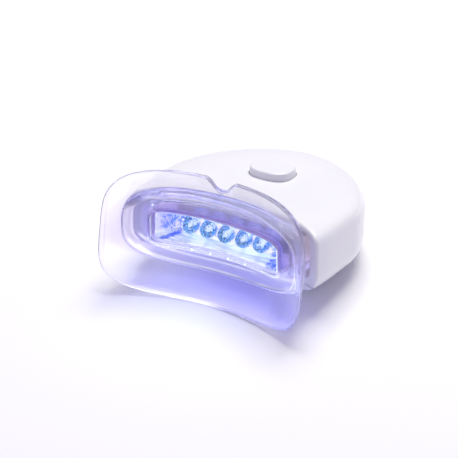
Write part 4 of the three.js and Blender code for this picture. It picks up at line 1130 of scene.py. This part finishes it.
class LAMP_OT_stage(bpy.types.Operator):
    """Makes the pale floor, the soft lights and the camera at the photograph's angle"""

    bl_idname = "whitening_lamp.stage"
    bl_label = "Stage"
    bl_options = {"REGISTER", "UNDO"}

    def execute(self, context):
        add_floor()
        world = bpy.data.worlds.new("studio")
        context.scene.world = world
        world.use_nodes = True
        sky = world.node_tree.nodes["Background"]
        sky.inputs["Color"].default_value = (0.69, 0.62, 1.0, 1.0)
        sky.inputs["Strength"].default_value = 0.44
        add_light("key", (0.0, 0.25, 0.65), size=0.42, power=4.7, colour=(1.0, 1.0, 0.86))
        add_light("fill", (-0.45, -0.4, 0.3), size=0.5, power=0.35, colour=(0.95, 0.96, 1.0))
        glow = add_light("lamp_glow", tuple(at_rest((-2.0, -7.0, 1.0))), size=0.02, power=0.003,
                         colour=(0.20, 0.32, 1.0), aim=(-0.02, -0.06, 0.0))
        glow.visible_glossy = False
        glow.visible_transmission = False
        add_camera()
        context.scene.view_settings.view_transform = "Standard"
        context.scene.view_settings.look = "None"
        return {"FINISHED"}


class LAMP_OT_body(bpy.types.Operator):
    """Makes the upper shell with its socket, the lower shell and the battery door"""

    bl_idname = "whitening_lamp.body"
    bl_label = "Body"
    bl_options = {"REGISTER", "UNDO"}

    def execute(self, context):
        settings = context.scene.whitening_lamp
        white = gloss_body(settings)
        shell = settle(closed_mesh("upper_shell_surface", body_grid()), "housing", white,
                       "upper_shell")
        square_x = np.array([-FAR, FAR, FAR, -FAR])
        square_y = np.array([-FAR, -FAR, 2 * FAR, 2 * FAR])
        parting = PARTING_Z + settings.parting_groove / MM / 2
        below = closed_mesh("cutter", upright_prism(square_x, square_y, -FAR, parting))
        plan_x, plan_y = button_outline(120)
        opening = closed_mesh("cutter", upright_prism(
            (BUTTON_HALF_WIDTH + CLEARANCE) * plan_x,
            BUTTON_Y + (BUTTON_HALF_LENGTH + CLEARANCE) * plan_y, *BUTTON_HOLE_Z))
        cut_with(shell, [below, opening])
        creased(shell, degrees=35)
        for node, body in (("lower_shell", "housing"), ("battery_door", "door")):
            piece = merged_copy(node, node + "_surface")
            face_outwards(piece)
            creased(settle(piece, body, white, node), degrees=28)
        return {"FINISHED"}


class LAMP_OT_button(bpy.types.Operator):
    """Makes the push button, in the body's finish"""

    bl_idname = "whitening_lamp.button"
    bl_label = "Button"
    bl_options = {"REGISTER", "UNDO"}

    def execute(self, context):
        button = closed_mesh("power_button_surface", button_grid())
        settle(button, "button", bpy.data.materials["gloss_white"],
               "power_button")
        creased(button, degrees=50)
        return {"FINISHED"}


class LAMP_OT_mouthpiece(bpy.types.Operator):
    """Makes the clear mouthpiece"""

    bl_idname = "whitening_lamp.mouthpiece"
    bl_label = "Mouthpiece"
    bl_options = {"REGISTER", "UNDO"}

    def execute(self, context):
        mouthpiece = closed_mesh("mouthpiece_surface", mouthpiece_grid(), ring=True)
        settle(mouthpiece, "mouthpiece", clear_moulding(context.scene.whitening_lamp),
               "mouthpiece")
        return {"FINISHED"}


class LAMP_OT_window(bpy.types.Operator):
    """Makes the nose, its window, the plated trough and the lamps"""

    bl_idname = "whitening_lamp.window"
    bl_label = "Window and lamps"
    bl_options = {"REGISTER", "UNDO"}

    def execute(self, context):
        settings = context.scene.whitening_lamp
        nose = closed_mesh("lamp_nose_surface", nose_grid(), ring=True)
        settle(nose, "housing", satin_nose(), "lamp_nose")
        creased(nose, degrees=40)
        settle(closed_mesh("window_lens_surface", lens_grid()), "housing",
               clear_window(), "window_lens")
        trough = closed_mesh("reflector_surface", trough_grid())
        settle(trough, "housing", plated_trough(), "reflector")
        cut_with(trough, [closed_mesh("cutter", lamp_hole(lamp_middle(number)))
                          for number in range(LAMP_COUNT)])
        creased(trough, degrees=35)
        lit = lit_lamp(settings)
        for number in range(LAMP_COUNT):
            node = f"led_{number + 1}"
            settle(closed_mesh(node + "_surface", lamp_grid(lamp_middle(number))), "housing", lit,
                   node)
        return {"FINISHED"}


class LAMP_OT_inside(bpy.types.Operator):
    """Gives the boards, cells, contacts, screws and wires their finishes"""

    bl_idname = "whitening_lamp.inside"
    bl_label = "Inside pieces"
    bl_options = {"REGISTER", "UNDO"}

    def execute(self, context):
        steel = metal_finish("plated_steel", (0.72, 0.73, 0.75), 0.2)
        nickel = metal_finish("nickel_can", (0.78, 0.76, 0.7), 0.22)
        board = board_finish()
        epoxy = matte_finish("black_epoxy", (0.02, 0.02, 0.022))
        ivory = matte_finish("switch_ivory", (0.7, 0.68, 0.62))
        red = matte_finish("red_insulation", (0.45, 0.02, 0.02))
        black = matte_finish("black_insulation", (0.02, 0.02, 0.022))
        finishes = {"case_screw": steel, "board_screw": steel, "contact": steel,
                    "coin_cell": nickel, "main_board": board, "led_board": board,
                    "driver_chip": epoxy, "resistor": epoxy, "switch_body": epoxy,
                    "switch_plunger": ivory, "wire_positive": red, "wire_negative": black}
        for name, node in frame["nodes"].items():
            for start, finish in finishes.items():
                if name.startswith(start):
                    give_finish(node, finish)
        return {"FINISHED"}


OPERATORS = (LAMP_OT_stage, LAMP_OT_body, LAMP_OT_button, LAMP_OT_mouthpiece, LAMP_OT_window,
             LAMP_OT_inside)


class LAMP_PT_panel(bpy.types.Panel):
    """Lists the lamp's settings and pieces"""

    bl_label = "Whitening lamp"
    bl_idname = "LAMP_PT_panel"
    bl_space_type = "VIEW_3D"
    bl_region_type = "UI"
    bl_category = "Whitening lamp"

    def draw(self, context):
        for key in WhiteningLampSettings.__annotations__:
            self.layout.prop(context.scene.whitening_lamp, key)
        for operator in OPERATORS:
            self.layout.operator(operator.bl_idname)


CLASSES = (WhiteningLampSettings, *OPERATORS, LAMP_PT_panel)


def register():
    """Adds the classes and the settings to Blender."""
    for each in CLASSES:
        bpy.utils.register_class(each)
    bpy.types.Scene.whitening_lamp = bpy.props.PointerProperty(type=WhiteningLampSettings)


def unregister():
    """Takes the settings and the classes out of Blender again."""
    del bpy.types.Scene.whitening_lamp
    for each in reversed(CLASSES):
        bpy.utils.unregister_class(each)


def main():
    """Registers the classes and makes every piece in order."""
    register()
    bpy.ops.whitening_lamp.stage()
    bpy.ops.whitening_lamp.body()
    bpy.ops.whitening_lamp.button()
    bpy.ops.whitening_lamp.mouthpiece()
    bpy.ops.whitening_lamp.window()
    bpy.ops.whitening_lamp.inside()


if __name__ == "__main__":
    main()
